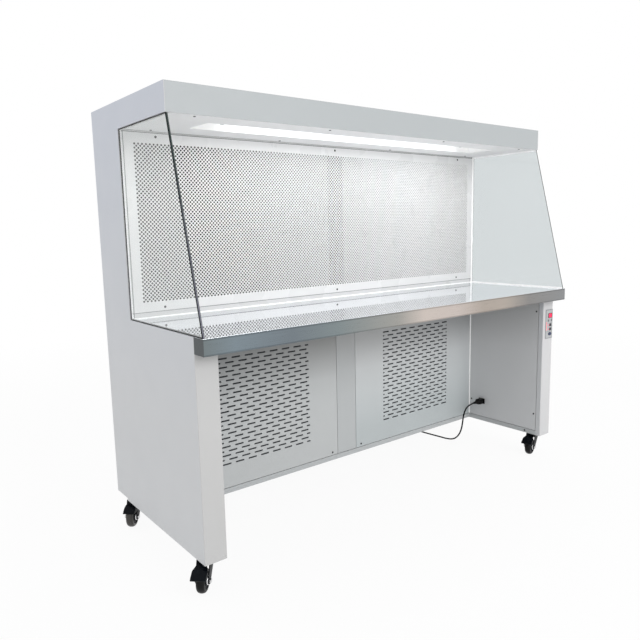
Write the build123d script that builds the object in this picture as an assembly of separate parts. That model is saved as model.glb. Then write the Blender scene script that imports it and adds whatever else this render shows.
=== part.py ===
from build123d import *
import os
from math import atan2, cos, degrees, pi, radians, sin, tan

# Horizontal laminar flow clean bench for two people, standing on four casters.
# +X is to the right, +Y to the back, +Z up. The origin is on the floor below its middle. Millimetres.

# ---- driving dimensions ------------------------------------------------------------------------
overall_width = 1800.0
overall_depth = 745.0
worktop_height = 785.0
chamber_height = 617.0
canopy_height = 85.0
skin = 1.5                      # painted steel sheet
inner_sheet = 1.5               # white enamelled inner sheet
base_thick = 3.0                # welded base frame plate
bend_radius = 3.0

# ---- places that follow from them --------------------------------------------------------------
half_width = overall_width / 2
front_y = -overall_depth / 2
back_y = overall_depth / 2
ceiling_z = worktop_height + chamber_height
top_z = ceiling_z + canopy_height
inside_x = half_width - skin
inside_back_y = back_y - skin

outlet_y = back_y - 234.5       # plane where the filtered air leaves the diffuser
canopy_front_y = back_y - 587.5
leg_front_y = back_y - 689.5
knee_wall_y = back_y - 285.5
leg_width = 75.0
leg_inner_x = half_width - leg_width
leg_return = 22.0
leg_return_y = leg_front_y + leg_return
skirt_z = 100.0                 # underside of the legs
rear_bottom_z = 108.5           # underside of the cabinet behind the rear casters
skirt_notch_y = back_y - 92.5
rail_top_z = 120.0
base_z = 107.0                  # underside of the base frame plate, where the casters bolt on
base_top_z = base_z + base_thick
apron_height = 50.0
apron_return = 24.0
apron_edge_radius = 1.2
worktop_under_z = worktop_height - skin
apron_bottom_z = worktop_height - apron_height
joint_gap = 2.0                 # shadow gap between neighbouring removable panels
panel_bottom_z = rail_top_z + joint_gap
ceiling_gap = 4.0               # shadow gap along the ceiling's rear edge
fascia_gap = 2.0                # and along its front edge

glass_thick = 8.0
glass_inset = 1.0
glass_top_front_y = canopy_front_y + 1.5
glass_bottom_front_y = front_y + 4.0
glass_clear = 0.5
glass_seat = 0.4                # the sheet is set down this far under the glass and its beads
seat_margin = 0.5
bead = 5.0                      # leg of the triangular silicone beads

diffuser_half_width = 880.0
diffuser_bottom_z = worktop_height + 20.0
diffuser_top_z = ceiling_z - 6.0
diffuser_frame_depth = 12.0
diffuser_proud = 1.5
filter_depth = 69.0
filter_half_gap = 4.0
filter_lip = 18.0
filter_recess = 6.0

lamp_half_length = 710.0
lamp_front_y = back_y - 478.0
lamp_back_y = back_y - 356.0
lamp_depth = 62.0
lamp_taper = 34.0
lamp_wall = 1.0
tube_radius = 13.0
tube_half_length = 600.0
tube_z = ceiling_z + 30.0
tube_spacing = 44.0
holder_thick = 12.0
holder_width = 24.0

post_half_width = 51.0
post_depth = 38.0
panel_flange = 12.0
slot_pitch_x = 55.9
slot_pitch_z = 16.67
slot_length = 37.3
slot_height = 6.2
slot_field_width = 428.5
slot_rows = 25
slot_top_z = 613.5
right_field_x = 217.0
left_field_x = -625.0
left_field_shift = 19.0         # the left panel's pattern starts this far into its field
shortest_slot = 4.0
prefilter_thick = 10.0
prefilter_margin = 15.0

deck_z = 770.0
blower_x = 430.0
blower_y = 226.0
blower_z = 560.0
scroll_radius = 98.0
scroll_step = 9.0
scroll_width = 190.0
scroll_inlet_radius = 66.0
blower_sheet = 1.5
impeller_radius = 86.0
impeller_bore_radius = 62.0
impeller_width = 160.0
blade_count = 14
blade_thick = 1.6
shaft_radius = 6.0
running_clearance = 0.05
motor_radius = 44.0
motor_length = 66.0
motor_gap = 4.0
motor_arm = 9.0

screw_head_radius = 4.0
screw_head_thick = 1.6

plate_width = 54.0
plate_height = 134.0
plate_thick = 2.0
plate_centre_x = 869.5
plate_centre_z = 621.5
plate_corner = 3.0
display_size = (32.0, 22.0)
display_centre = (877.0, 659.5)
button_proud = 1.5
button_travel = 1.2
button_flange = 0.8
button_flange_thick = 1.0
button_clearance = 0.3
round_button_radius = 4.2
square_button = 11.0
oval_button = (25.0, 15.0)
button_places = {
    "select_button": (864.0, 637.4),
    "set_button": (889.0, 637.4),
    "fan_button": (880.0, 616.4),
    "lamp_button": (880.0, 597.3),
    "power_button": (876.5, 575.6),
}
control_window = (50.0, 122.0)
control_box_wall = 1.5
control_box_depth = 30.0
control_board_depth = 9.0       # from the leg's front sheet to the board
control_board_thick = 1.6

caster_x = 866.0
front_caster_y = -254.5
rear_caster_y = 297.5
wheel_radius = 37.5
wheel_width = 28.0
caster_offset = 36.0
caster_plate = 58.0
caster_plate_thick = 3.0
fork_gap = 0.3
fork_crown_z = 88.0
fork_half_width = 21.5
fork_wall = 3.0
fork_crown_top_z = 94.0
hood_radius = 43.0              # outside of the rear forks' hood, about the axle
hood_lip_z = 62.0               # where the hood ends in front of the wheel
nut_pocket_radius = 10.5        # room round the kingpin's nut
ring_radius = 13.5              # thread guard on each side of the wheel's hub
kingpin_radius = 6.0
swivel_head_radius = 23.0
axle_radius = 5.0
axle_boss_radius = 11.0
pedal_pin_radius = 2.5
pedal_pivot = (18.0, 83.0)      # along the caster's heading from the swivel axis, and height
pedal_half_width = 24.0
# heading of each caster from its swivel axis to its wheel, in degrees from +X
caster_headings = {"fl": 225.5, "fr": 194.5, "rl": 228.5, "rr": 14.0}

inlet_y = 9.5
inlet_z = 201.5
inlet_body = (28.0, 21.0, 24.0)     # along Y, Z and into the leg
inlet_flange = (34.0, 27.0, 2.0)
connector_size = (27.0, 19.5, 38.0)
relief_length = 26.0
cord_diameter = 7.0
cord_radius = cord_diameter / 2
relief_end_radius = 4.6
coil_centre = (628.0, 446.0)
coil_mean_radius = 42.0
coil_outer_turn = 45.6
coil_height = 21.5
plug_size = (44.0, 34.0, 20.0)
plug_centre = (558.0, 478.0)


# ---- helpers -----------------------------------------------------------------------------------
def block(x, y, z):
    """Box between two corners, each axis given as (low, high)."""
    size = [b - a for a, b in (x, y, z)]
    middle = [(a + b) / 2 for a, b in (x, y, z)]
    return Pos(*middle) * Box(*size)


def side_profile(points, x_low, x_high):
    """Prism of an outline in the YZ plane, from x_low to x_high."""
    outline = make_face(Polyline(*points, close=True))
    return Pos(x_low, 0, 0) * extrude(Plane.YZ * outline, x_high - x_low)


def round_bar(start, end, radius):
    """Cylinder between two points."""
    line = Line(start, end)
    return extrude(Plane(origin=start, z_dir=line % 0) * Circle(radius), line.length)


def both_sides(shape):
    """The shape, modelled on the right, and its mirror image on the left."""
    return {"right": shape, "left": mirror(shape, about=Plane.YZ)}


def turned(shape, x, y, heading):
    """Places a caster's piece, modelled along +X at the origin, under its swivel axis."""
    return Pos(x, y, 0) * Rot(0, 0, heading) * shape


# ---- cabinet skins -----------------------------------------------------------------------------
def side_panel():
    """C-shaped outer skin of the right side, folded round the leg's front and back inside."""
    outline = [
        (back_y, rear_bottom_z),
        (back_y, top_z),
        (canopy_front_y, top_z),
        (canopy_front_y, ceiling_z),
        (outlet_y, ceiling_z),
        (outlet_y, worktop_under_z),
        (leg_return_y, worktop_under_z),
        (leg_return_y, skirt_z),
        (skirt_notch_y, skirt_z),
        (skirt_notch_y, rear_bottom_z),
    ]
    plate = side_profile(outline, inside_x, half_width)
    fold = Pos(leg_inner_x, leg_front_y) * Rectangle(leg_width, leg_return, align=Align.MIN)
    fold = fillet(fold.vertices().group_by(Axis.Y)[0], bend_radius)
    hollow = Pos(leg_inner_x + skin, leg_front_y + skin)
    hollow = hollow * Rectangle(leg_width - 2 * skin, leg_return, align=Align.MIN)
    hollow = fillet(hollow.vertices().group_by(Axis.Y)[0], bend_radius - skin)
    nose = extrude(Pos(0, 0, skirt_z) * (fold - hollow), worktop_under_z - skirt_z)
    return plate + nose


def control_opening():
    """Window through the right leg's front, behind the control plate."""
    w, h = control_window
    x = (plate_centre_x - w / 2, plate_centre_x + w / 2)
    z = (plate_centre_z - h / 2, plate_centre_z + h / 2)
    return block(x, (leg_front_y - skin, leg_front_y + 2 * skin), z)


def back_panel():
    x = (-inside_x, inside_x)
    return block(x, (inside_back_y, back_y), (rear_bottom_z, top_z - skin))


def canopy_cover():
    """Top sheet, folded down into the front fascia, with a lip that carries the ceiling."""
    depth = inside_back_y - canopy_front_y
    corner = Plane.YZ * (Pos(canopy_front_y, ceiling_z) * Rectangle(depth + skin, canopy_height, align=Align.MIN))
    corner = fillet(corner.vertices().sort_by(Axis.Z)[-2:].sort_by(Axis.Y)[0], bend_radius)
    inside = Plane.YZ * (Pos(canopy_front_y + skin, ceiling_z - skin)
                         * Rectangle(depth + skin, canopy_height, align=Align.MIN))
    inside = fillet(inside.vertices().sort_by(Axis.Z)[-2:].sort_by(Axis.Y)[0], bend_radius - skin)
    return Pos(-inside_x, 0, 0) * extrude(corner - inside, 2 * inside_x)


def ceiling_panel():
    """White ceiling of the work chamber, with the long opening below the lamps."""
    y = (canopy_front_y + skin + fascia_gap, outlet_y - ceiling_gap)
    sheet = block((-inside_x, inside_x), y, (ceiling_z, ceiling_z + inner_sheet))
    opening = block((-lamp_half_length, lamp_half_length), (lamp_front_y, lamp_back_y), (ceiling_z - 1, ceiling_z + 3))
    return sheet - opening


def lamp_reflector():
    """Trough above the ceiling opening, drawn in towards its top at the ends and sides."""
    middle_y = (lamp_front_y + lamp_back_y) / 2
    z = ceiling_z + inner_sheet
    length = 2 * lamp_half_length + 12.0
    width = lamp_back_y - lamp_front_y + 12.0

    def funnel(inset, low, high):
        foot = Pos(0, middle_y, low) * Rectangle(length - 2 * inset, width - 2 * inset)
        head = Pos(0, middle_y, high) * Rectangle(length - 2 * inset - 4 * lamp_taper, width - 2 * inset - lamp_taper)
        return loft([foot, head])

    return funnel(0, z, z + lamp_depth) - funnel(lamp_wall, z, z + lamp_depth - lamp_wall)


def lamp_tube(y):
    """Sealed tubular lamp with its end caps."""
    cap = 18.0
    glass = round_bar((-tube_half_length + cap, y, tube_z), (tube_half_length - cap, y, tube_z), tube_radius)
    ends = [
        round_bar((s * (tube_half_length - cap), y, tube_z), (s * tube_half_length, y, tube_z), tube_radius - 0.6)
        for s in (-1, 1)
    ]
    return glass + ends


def lamp_holders():
    """Four holders that grip the lamps' ends and hang from the trough's top."""
    middle_y = (lamp_front_y + lamp_back_y) / 2
    top = ceiling_z + inner_sheet + lamp_depth - lamp_wall
    solids = []
    for end in (-1, 1):
        for place in (-1, 1):
            x = sorted((end * tube_half_length, end * (tube_half_length + holder_thick)))
            y = middle_y + place * tube_spacing / 2
            solids.append(block(x, (y - holder_width / 2, y + holder_width / 2), (tube_z - tube_radius - 1, top)))
    return Compound(children=solids)


# ---- worktop and chamber -----------------------------------------------------------------------
def worktop():
    """Stainless sheet, folded down at the front and closed at the two front corners."""
    rear_y = outlet_y
    sheet = block((-half_width, half_width), (front_y, rear_y), (worktop_under_z, worktop_height))
    apron = block((-half_width, half_width), (front_y, front_y + skin), (apron_bottom_z, worktop_height))
    lip = block((-half_width, half_width), (front_y, front_y + apron_return), (apron_bottom_z, apron_bottom_z + skin))
    body = sheet + apron + lip
    for low, high in ((-half_width, -inside_x), (inside_x, half_width)):
        body += block((low, high), (front_y, leg_front_y), (apron_bottom_z, worktop_height))
    edge = body.edges().filter_by(Axis.X).group_by(Axis.Z)[-1].sort_by(Axis.Y)[0]
    body = fillet(edge, apron_edge_radius)
    free_x = half_width - glass_inset - glass_thick - bead - seat_margin
    free_y = (glass_bottom_front_y - seat_margin, rear_y - bead - seat_margin)
    seat_z = (worktop_height - glass_seat, worktop_height + 1)
    for low, high in ((-half_width - 1, -free_x), (free_x, half_width + 1)):
        body -= block((low, high), (free_y[0], rear_y + 1), seat_z)
    return body - block((-free_x, free_x), (free_y[1], rear_y + 1), seat_z)


def side_glass():
    """Toughened glass between worktop and canopy, its front edge sloping."""
    seat_z = worktop_height - glass_seat
    outline = [
        (outlet_y - glass_clear, seat_z),
        (outlet_y - glass_clear, ceiling_z - glass_clear),
        (glass_top_front_y, ceiling_z - glass_clear),
        (glass_bottom_front_y, seat_z),
    ]
    outer = half_width - glass_inset
    return side_profile(outline, outer - glass_thick, outer)


def chamber_sealant():
    """Silicone beads along the glass and the rear of the worktop, each a triangular run."""
    glass_x = half_width - glass_inset - glass_thick
    face_y = outlet_y - diffuser_proud
    bottom, top = worktop_height - glass_seat, ceiling_z
    side_start, side_end = glass_bottom_front_y + 3, face_y - 2 * bead
    solids = []
    rear = [(outlet_y, bottom), (outlet_y - bead, bottom), (outlet_y, bottom + bead)]
    solids.append(side_profile(rear, -glass_x + bead, glass_x - bead))
    for s in (-1, 1):
        foot = Plane.XZ * make_face(Polyline((s * glass_x, bottom), (s * (glass_x - bead), bottom),
                                             (s * glass_x, bottom + bead), close=True))
        solids.append(Pos(0, side_end, 0) * extrude(foot, side_end - side_start))
        head = Plane.XZ * make_face(Polyline((s * glass_x, top), (s * (glass_x - bead), top),
                                             (s * glass_x, top - bead), close=True))
        solids.append(Pos(0, side_end, 0) * extrude(head, side_end - glass_top_front_y - 3))
        upright = make_face(Polyline((s * glass_x, outlet_y), (s * (glass_x - bead), outlet_y),
                                     (s * glass_x, outlet_y - bead), close=True))
        solids.append(extrude(Pos(0, 0, bottom + 2 * bead) * upright, chamber_height - 4 * bead))
    return Compound(children=solids)


def diffuser_frame():
    """White surround that closes the chamber's rear round the diffuser."""
    y = (outlet_y, outlet_y + diffuser_frame_depth)
    ring = block((-inside_x, inside_x), y, (deck_z + skin, ceiling_z))
    inner_x = diffuser_half_width - 20
    hole = block((-inner_x, inner_x), (y[0] - 1, y[1] + 1), (diffuser_bottom_z + 20, diffuser_top_z - 20))
    return ring - hole


def diffuser_panel():
    """Perforated sheet in front of the filters; its holes are finer than this model holds."""
    x = (-diffuser_half_width, diffuser_half_width)
    return block(x, (outlet_y - diffuser_proud, outlet_y), (diffuser_bottom_z, diffuser_top_z))


def hepa_filter():
    """Right-hand filter pack: a deep frame with its pleated pack set back from both faces."""
    y0 = outlet_y + diffuser_frame_depth
    x = (filter_half_gap, diffuser_half_width)
    z = (worktop_height + 4, ceiling_z - 4)
    frame = block(x, (y0, y0 + filter_depth), z)
    for low, high in ((y0 - 1, y0 + filter_recess), (y0 + filter_depth - filter_recess, y0 + filter_depth + 1)):
        frame -= block((x[0] + filter_lip, x[1] - filter_lip), (low, high), (z[0] + filter_lip, z[1] - filter_lip))
    return frame


# ---- lower cabinet -----------------------------------------------------------------------------
def base_frame():
    """Welded floor of the cabinet and legs, with the low skirt round the knee space."""
    floor = block((-inside_x, inside_x), (knee_wall_y + skin, inside_back_y), (base_z, base_top_z))
    floor += block((-leg_inner_x, leg_inner_x), (knee_wall_y, knee_wall_y + skin), (skirt_z, rail_top_z))
    for s in (-1, 1):
        leg_x = sorted((s * (leg_inner_x + skin), s * inside_x))
        skirt_x = sorted((s * leg_inner_x, s * (leg_inner_x + skin)))
        floor += block(leg_x, (leg_front_y + skin, knee_wall_y + skin), (base_z, base_top_z))
        floor += block(skirt_x, (leg_return_y, knee_wall_y + skin), (skirt_z, rail_top_z))
    corner_clear = bend_radius
    for s in (-1, 1):
        for x in (leg_inner_x + skin, inside_x):
            low, high = sorted((s * (x - corner_clear), s * (x + corner_clear)))
            cut = (leg_front_y, leg_front_y + skin + corner_clear)
            floor -= block((low, high), cut, (base_z - 1, base_top_z + 1))
    return floor


def leg_cover():
    """Removable cover on the inside of the right leg."""
    z = (panel_bottom_z, worktop_under_z)
    return block((leg_inner_x, leg_inner_x + skin), (leg_return_y + joint_gap, knee_wall_y - joint_gap), z)


def inlet_opening():
    w, h, _ = inlet_body
    y = (inlet_y - w / 2, inlet_y + w / 2)
    return block((leg_inner_x - 1, leg_inner_x + 3), y, (inlet_z - h / 2, inlet_z + h / 2))


def centre_post():
    """Folded channel between the two access panels."""
    z = (panel_bottom_z, deck_z)
    y = (knee_wall_y, knee_wall_y + post_depth)
    outer = block((-post_half_width, post_half_width), y, z)
    inside_half = post_half_width - skin
    hollow = block((-inside_half, inside_half), (y[0] + skin, y[1] + 1), (z[0] - 1, z[1] + 1))
    return outer - hollow


def slot_spans(shift):
    """Left and right ends of each slot in one row, cut off at the field's two edges."""
    spans = []
    start = shift - slot_pitch_x
    while start < slot_field_width:
        low, high = max(start, 0.0), min(start + slot_length, slot_field_width)
        if high - low >= shortest_slot:
            spans.append((low, high))
        start += slot_pitch_x
    return spans


def access_panel(x_low, x_high, field_x, shift):
    """Sheet with folded edges and staggered rows of air slots."""
    z_low, z_high = panel_bottom_z, deck_z
    outline = Wire(Polyline((x_low, z_low), (x_high, z_low), (x_high, z_high), (x_low, z_high), close=True).edges())
    holes = []
    for row in range(slot_rows):
        stagger = slot_pitch_x / 2 if row % 2 else 0.0
        middle = slot_top_z - row * slot_pitch_z
        for a, b in slot_spans((shift + stagger) % slot_pitch_x):
            slot = Pos(field_x + (a + b) / 2, middle) * SlotOverall(b - a, slot_height)
            holes.append(slot.wire())
    sheet = extrude(Plane.XZ.offset(-knee_wall_y) * Face(outline, holes), -skin)
    y = (knee_wall_y + skin, knee_wall_y + panel_flange)
    for low, high in ((x_low, x_low + skin), (x_high - skin, x_high)):
        sheet += block((low, high), y, (z_low, z_high))
    for low, high in ((z_low, z_low + skin), (z_high - skin, z_high)):
        sheet += block((x_low + skin, x_high - skin), y, (low, high))
    return sheet


def prefilter(field_x):
    """Washable intake filter pad behind one slotted field."""
    m = prefilter_margin
    field_bottom = slot_top_z - (slot_rows - 1) * slot_pitch_z
    y = (knee_wall_y + skin, knee_wall_y + skin + prefilter_thick)
    return block((field_x - m, field_x + slot_field_width + m), y, (field_bottom - m, slot_top_z + m))


def blower_deck():
    """Shelf below the filters that carries the blowers, open above each outlet."""
    sheet = block((-inside_x, inside_x), (knee_wall_y + skin, inside_back_y), (deck_z, deck_z + skin))
    left, right = scroll_outlet()
    for s in (-1, 1):
        x = (s * blower_x - scroll_width / 2, s * blower_x + scroll_width / 2)
        sheet -= block(x, (left, right), (deck_z - 1, deck_z + skin + 1))
    return sheet


def scroll_outlet():
    """Y of the front and rear walls of the blower's upright outlet, on their inner faces."""
    return blower_y + 2 * blower_sheet, blower_y + scroll_radius + 3 * scroll_step


def scroll_outline(grow, top):
    """Blower casing seen along its shaft: three quarter turns of growing radius and an outlet."""
    r1 = scroll_radius + grow
    r2, r3 = r1 + scroll_step, r1 + 2 * scroll_step
    y1, z1 = blower_y, blower_z
    y2 = y1 + scroll_step
    z3 = z1 + scroll_step
    k = cos(radians(45))
    front = ThreePointArc((y1, z1 + r1), (y1 - r1 * k, z1 + r1 * k), (y1 - r1, z1))
    under = ThreePointArc((y1 - r1, z1), (y2 - r2 * k, z1 - r2 * k), (y2, z1 - r2))
    rear = ThreePointArc((y2, z1 - r2), (y2 + r3 * k, z3 - r3 * k), (y2 + r3, z3))
    wall_y = y1 + 2 * blower_sheet - grow
    duct = Polyline((y2 + r3, z3), (y2 + r3, top), (wall_y, top), (wall_y, z1 + r1), (y1, z1 + r1))
    return Plane.YZ * make_face([front, under, rear, duct])


def blower_housing():
    """Right-hand scroll casing with an inlet in each side, hung below the deck."""
    half = scroll_width / 2
    solid = extrude(Pos(blower_x - half - blower_sheet, 0, 0) * scroll_outline(blower_sheet, deck_z),
                    scroll_width + 2 * blower_sheet)
    solid -= extrude(Pos(blower_x - half, 0, 0) * scroll_outline(0, deck_z + 5), scroll_width)
    reach = half + 5
    solid -= round_bar((blower_x - reach, blower_y, blower_z), (blower_x + reach, blower_y, blower_z), scroll_inlet_radius)
    return solid


def impeller():
    """Right-hand double-inlet wheel: centre disc, two end rings, leaning blades and its shaft."""
    half = impeller_width / 2
    wheel = extrude(Circle(impeller_radius - 1), 1.5, both=True)
    ring = Circle(impeller_radius) - Circle(impeller_bore_radius)
    wheel += [extrude(Pos(0, 0, z) * ring, 2) for z in (-half, half - 2)]
    depth = impeller_radius - impeller_bore_radius - 2
    middle_radius = (impeller_radius + impeller_bore_radius) / 2
    lean = 30.0
    blade = Pos(middle_radius, 0, 0) * Rot(0, 0, lean) * Box(depth, blade_thick, impeller_width)
    for i in range(blade_count):
        wheel += Rot(0, 0, i * 360 / blade_count) * blade
    wheel += extrude(Circle(16), 12, both=True)
    shaft_end = scroll_width / 2 + blower_sheet + motor_gap + motor_length / 2
    wheel += Cylinder(shaft_radius, shaft_end, align=(Align.CENTER, Align.CENTER, Align.MIN))
    return Pos(blower_x, blower_y, blower_z) * Rot(0, 90, 0) * wheel


def blower_motor():
    """Right-hand motor, held by three arms over the inlet, with a bore for the shaft."""
    face = scroll_width / 2 + blower_sheet
    start = face + motor_gap
    body = Pos(0, 0, start) * Cylinder(motor_radius, motor_length, align=(Align.CENTER, Align.CENTER, Align.MIN))
    bore = Cylinder(shaft_radius + running_clearance, motor_length / 2 + 2, align=(Align.CENTER, Align.CENTER, Align.MIN))
    body -= Pos(0, 0, start - 1) * bore
    reach = scroll_inlet_radius + 12
    for angle in (90, 210, 330):
        arm = Pos(reach / 2 + motor_radius / 4, 0, 0) * Box(reach - motor_radius / 2, motor_arm, 3)
        body += Rot(0, 0, angle) * Pos(0, 0, start + 1.5) * arm
        body += Rot(0, 0, angle) * Pos(reach - 2, 0, face + (motor_gap + 3) / 2) * Box(8, motor_arm, motor_gap + 3)
    return Pos(blower_x, blower_y, blower_z) * Rot(0, 90, 0) * body


# ---- controls ----------------------------------------------------------------------------------
def button_outline(name, grow=0.0):
    """Face of one push button, in the plane of the control plate."""
    if name == "power_button":
        return Ellipse(oval_button[0] / 2 + grow, oval_button[1] / 2 + grow)
    if name in ("fan_button", "lamp_button"):
        return Rectangle(square_button + 2 * grow, square_button + 2 * grow)
    return Circle(round_button_radius + grow)


def upright(face, x, z, y_front, y_back):
    """Extrudes a face drawn as seen from the front, between two depths."""
    plane = Plane(origin=(x, y_back, z), x_dir=(1, 0, 0), z_dir=(0, -1, 0))
    return extrude(plane * face, y_back - y_front)


def control_plate():
    face = fillet(Rectangle(plate_width, plate_height).vertices(), plate_corner)
    y = (leg_front_y - plate_thick, leg_front_y)
    plate = upright(face, plate_centre_x, plate_centre_z, *y)
    plate -= upright(Rectangle(*display_size), *display_centre, y[0] - 1, y[1] + 1)
    for name, place in button_places.items():
        plate -= upright(button_outline(name, button_clearance), *place, y[0] - 1, y[1] + 1)
    return plate


def display_window():
    return upright(Rectangle(*display_size), *display_centre, leg_front_y - plate_thick - 0.6, leg_front_y)


def push_button(name):
    """Button cap with the flange that keeps it behind the plate."""
    place = button_places[name]
    plate_front = leg_front_y - plate_thick
    cap = upright(button_outline(name), *place, plate_front - button_proud, leg_front_y)
    flange = button_outline(name, button_flange)
    return cap + upright(flange, *place, leg_front_y, leg_front_y + button_flange_thick)


def control_box():
    """Open frame on the back of the leg's front, with the control board across it."""
    w, h = control_window
    y0 = leg_front_y + skin
    y1 = y0 + control_board_depth
    frame = upright(Rectangle(w + 2 * control_box_wall, h + 2 * control_box_wall) - Rectangle(w, h),
                    plate_centre_x, plate_centre_z, y0, y0 + control_box_depth)
    return frame + upright(Rectangle(w, h), plate_centre_x, plate_centre_z, y1, y1 + control_board_thick)


# ---- mains lead --------------------------------------------------------------------------------
def power_inlet():
    """Appliance inlet let into the right leg's cover."""
    w, h, deep = inlet_body
    fw, fh, ft = inlet_flange
    body = block((leg_inner_x, leg_inner_x + deep), (inlet_y - w / 2, inlet_y + w / 2), (inlet_z - h / 2, inlet_z + h / 2))
    x = (leg_inner_x - ft, leg_inner_x)
    return body + block(x, (inlet_y - fw / 2, inlet_y + fw / 2), (inlet_z - fh / 2, inlet_z + fh / 2))


def power_connector():
    """Moulded lead connector pushed into the inlet, tapering to its strain relief."""
    w, h, length = connector_size
    x = leg_inner_x - inlet_flange[2]
    face = fillet(Rectangle(h, w).vertices(), 3)
    plane = Plane(origin=(x, inlet_y, inlet_z), x_dir=(0, 0, 1), z_dir=(-1, 0, 0))
    body = extrude(plane * face, length)
    shoulder = plane.offset(length) * fillet(Rectangle(h - 3, w - 8).vertices(), 3)
    neck = plane.offset(length + relief_length * 0.45) * Circle(relief_end_radius + 1.4)
    body += loft([shoulder, neck])
    sleeve = Plane(origin=(x - length - relief_length * 0.45, inlet_y, inlet_z), z_dir=(-1, 0, 0))
    return body + extrude(sleeve * Circle(relief_end_radius + 1.4), relief_length * 0.55, taper=6)


cord_exit_x = leg_inner_x - inlet_flange[2] - connector_size[2] - relief_length
cord_route = [
    (cord_exit_x, 9.5, 201.5),
    (727.0, 9.5, 199.0),
    (698.0, 10.0, 183.0),
    (684.0, 11.0, 152.0),
    (682.0, 14.0, 114.0),
    (685.0, 24.0, 76.0),
    (689.0, 44.0, 42.0),
    (693.0, 75.0, 15.0),
    (695.0, 118.0, 4.5),
    (693.0, 172.0, 3.7),
    (686.0, 232.0, 3.7),
    (681.0, 296.0, 3.7),
    (679.0, 352.0, 3.7),
    (675.5, 399.0, 3.7),
    (coil_centre[0] + coil_outer_turn, coil_centre[1] - 8.0, 3.7),
]


def route_radii(points):
    """Radius of each arc: 0.45 of the shorter run beside it, over the tangent of half its turn."""
    radii = []
    for before, at, after in zip(points, points[1:], points[2:]):
        incoming, outgoing = Vector(*at) - Vector(*before), Vector(*after) - Vector(*at)
        turn = incoming.get_angle(outgoing)
        shorter = min(incoming.length, outgoing.length)
        radii.append(0.45 * shorter / tan(radians(turn) / 2))
    return radii


def power_cord():
    """Free stretch of the mains lead: straight runs joined by tangent arcs."""
    radii = route_radii(cord_route)
    path = FilletPolyline(*cord_route, radius=radii)
    start = Plane(origin=path @ 0, z_dir=path % 0)
    tube = sweep(start * Circle(cord_radius), path=path)
    print("cord length", round(path.length, 1), "tightest radius", round(min(radii), 1))
    print("tube volume over section times length", round(tube.volume / (pi * cord_radius**2 * path.length), 4))
    return tube


def cord_coil():
    """Outer shape of the put-away coil, lying on the floor close behind the bench."""
    outer = coil_outer_turn + cord_radius
    inner = 2 * coil_mean_radius - outer
    ring = Pos(*coil_centre, 0) * (Circle(outer) - Circle(inner))
    return extrude(ring, coil_height)


def mains_plug():
    """Moulded plug on the lead's far end, lying beside the coil."""
    length, width, height = plug_size
    x, y = plug_centre
    body = block((x - length / 2, x + length / 2), (y - width / 2, y + width / 2), (0, height))
    body = fillet(body.edges().filter_by(Axis.Z), 6)
    for side in (-1, 0, 1):
        pin = block((x - length / 2 - 18, x - length / 2), (y + side * 9 - 0.9, y + side * 9 + 0.9),
                    (height / 2 - 3, height / 2 + 3))
        body += pin
    return body


# ---- casters -----------------------------------------------------------------------------------
def caster_mount():
    """Bolted top plate with the kingpin that the fork hangs on."""
    low = base_z - caster_plate_thick
    plate = fillet(Rectangle(caster_plate, caster_plate).vertices(), 6)
    body = extrude(Pos(0, 0, low) * plate, caster_plate_thick)
    body += Pos(0, 0, fork_crown_z - 1) * Cylinder(kingpin_radius, low - fork_crown_z + 1,
                                                   align=(Align.CENTER, Align.CENTER, Align.MIN))
    foot = extrude(Pos(0, 0, fork_crown_z - 5) * RegularPolygon(9, 6), 5 - fork_gap)
    return body + foot


def caster_fork(braked):
    """Hooded fork: swivel head, crown and two cheeks that reach out to the axle."""
    top = fork_crown_top_z
    middle = Pos(caster_offset, wheel_radius)
    axle = middle * Circle(axle_boss_radius)
    crown = Pos(0, (top + fork_crown_z) / 2) * Rectangle(2 * swivel_head_radius, top - fork_crown_z)
    cheek = make_hull(axle.edges() + crown.edges())
    side = Plane(origin=(0, fork_half_width, 0), x_dir=(1, 0, 0), z_dir=(0, -1, 0))
    body = extrude(side * cheek, 2 * fork_half_width)
    gap = fork_half_width - fork_wall
    if braked:
        body -= block((-60, 120), (-gap, gap), (0, fork_crown_z))
    else:
        above_lip = Pos(caster_offset, (top + hood_lip_z) / 2) * Rectangle(4 * hood_radius, top - hood_lip_z)
        body += extrude(side * (middle * Circle(hood_radius) & above_lip), 2 * fork_half_width)
        well_radius = hood_radius - fork_wall
        well = middle * Circle(well_radius)
        well += Pos(caster_offset, wheel_radius / 2) * Rectangle(2 * well_radius, wheel_radius)
        inside = Plane(origin=(0, gap, 0), x_dir=(1, 0, 0), z_dir=(0, -1, 0))
        body -= extrude(inside * well, 2 * gap)
        body -= Pos(0, 0, wheel_radius) * Cylinder(nut_pocket_radius, fork_crown_z - wheel_radius,
                                                   align=(Align.CENTER, Align.CENTER, Align.MIN))
    head_top = base_z - caster_plate_thick - fork_gap
    body += Pos(0, 0, top) * Cylinder(swivel_head_radius, head_top - top, align=(Align.CENTER, Align.CENTER, Align.MIN))
    body -= Cylinder(kingpin_radius + running_clearance, 400)
    body -= cross_bar(caster_offset, wheel_radius, axle_radius, fork_half_width + 1)
    if braked:
        body -= cross_bar(*pedal_pivot, pedal_pin_radius + running_clearance, fork_half_width + 1)
    return body


def cross_bar(x, z, radius, reach):
    return round_bar((x, -reach, z), (x, reach, z), radius)


def caster_axle():
    """Axle bolt with its head and nut outside the cheeks."""
    body = cross_bar(caster_offset, wheel_radius, axle_radius, fork_half_width)
    for side in (-1, 1):
        plane = Plane(origin=(caster_offset, side * fork_half_width, wheel_radius), z_dir=(0, side, 0))
        body += extrude(plane * RegularPolygon(7.5, 6), 5)
    return body


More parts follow.
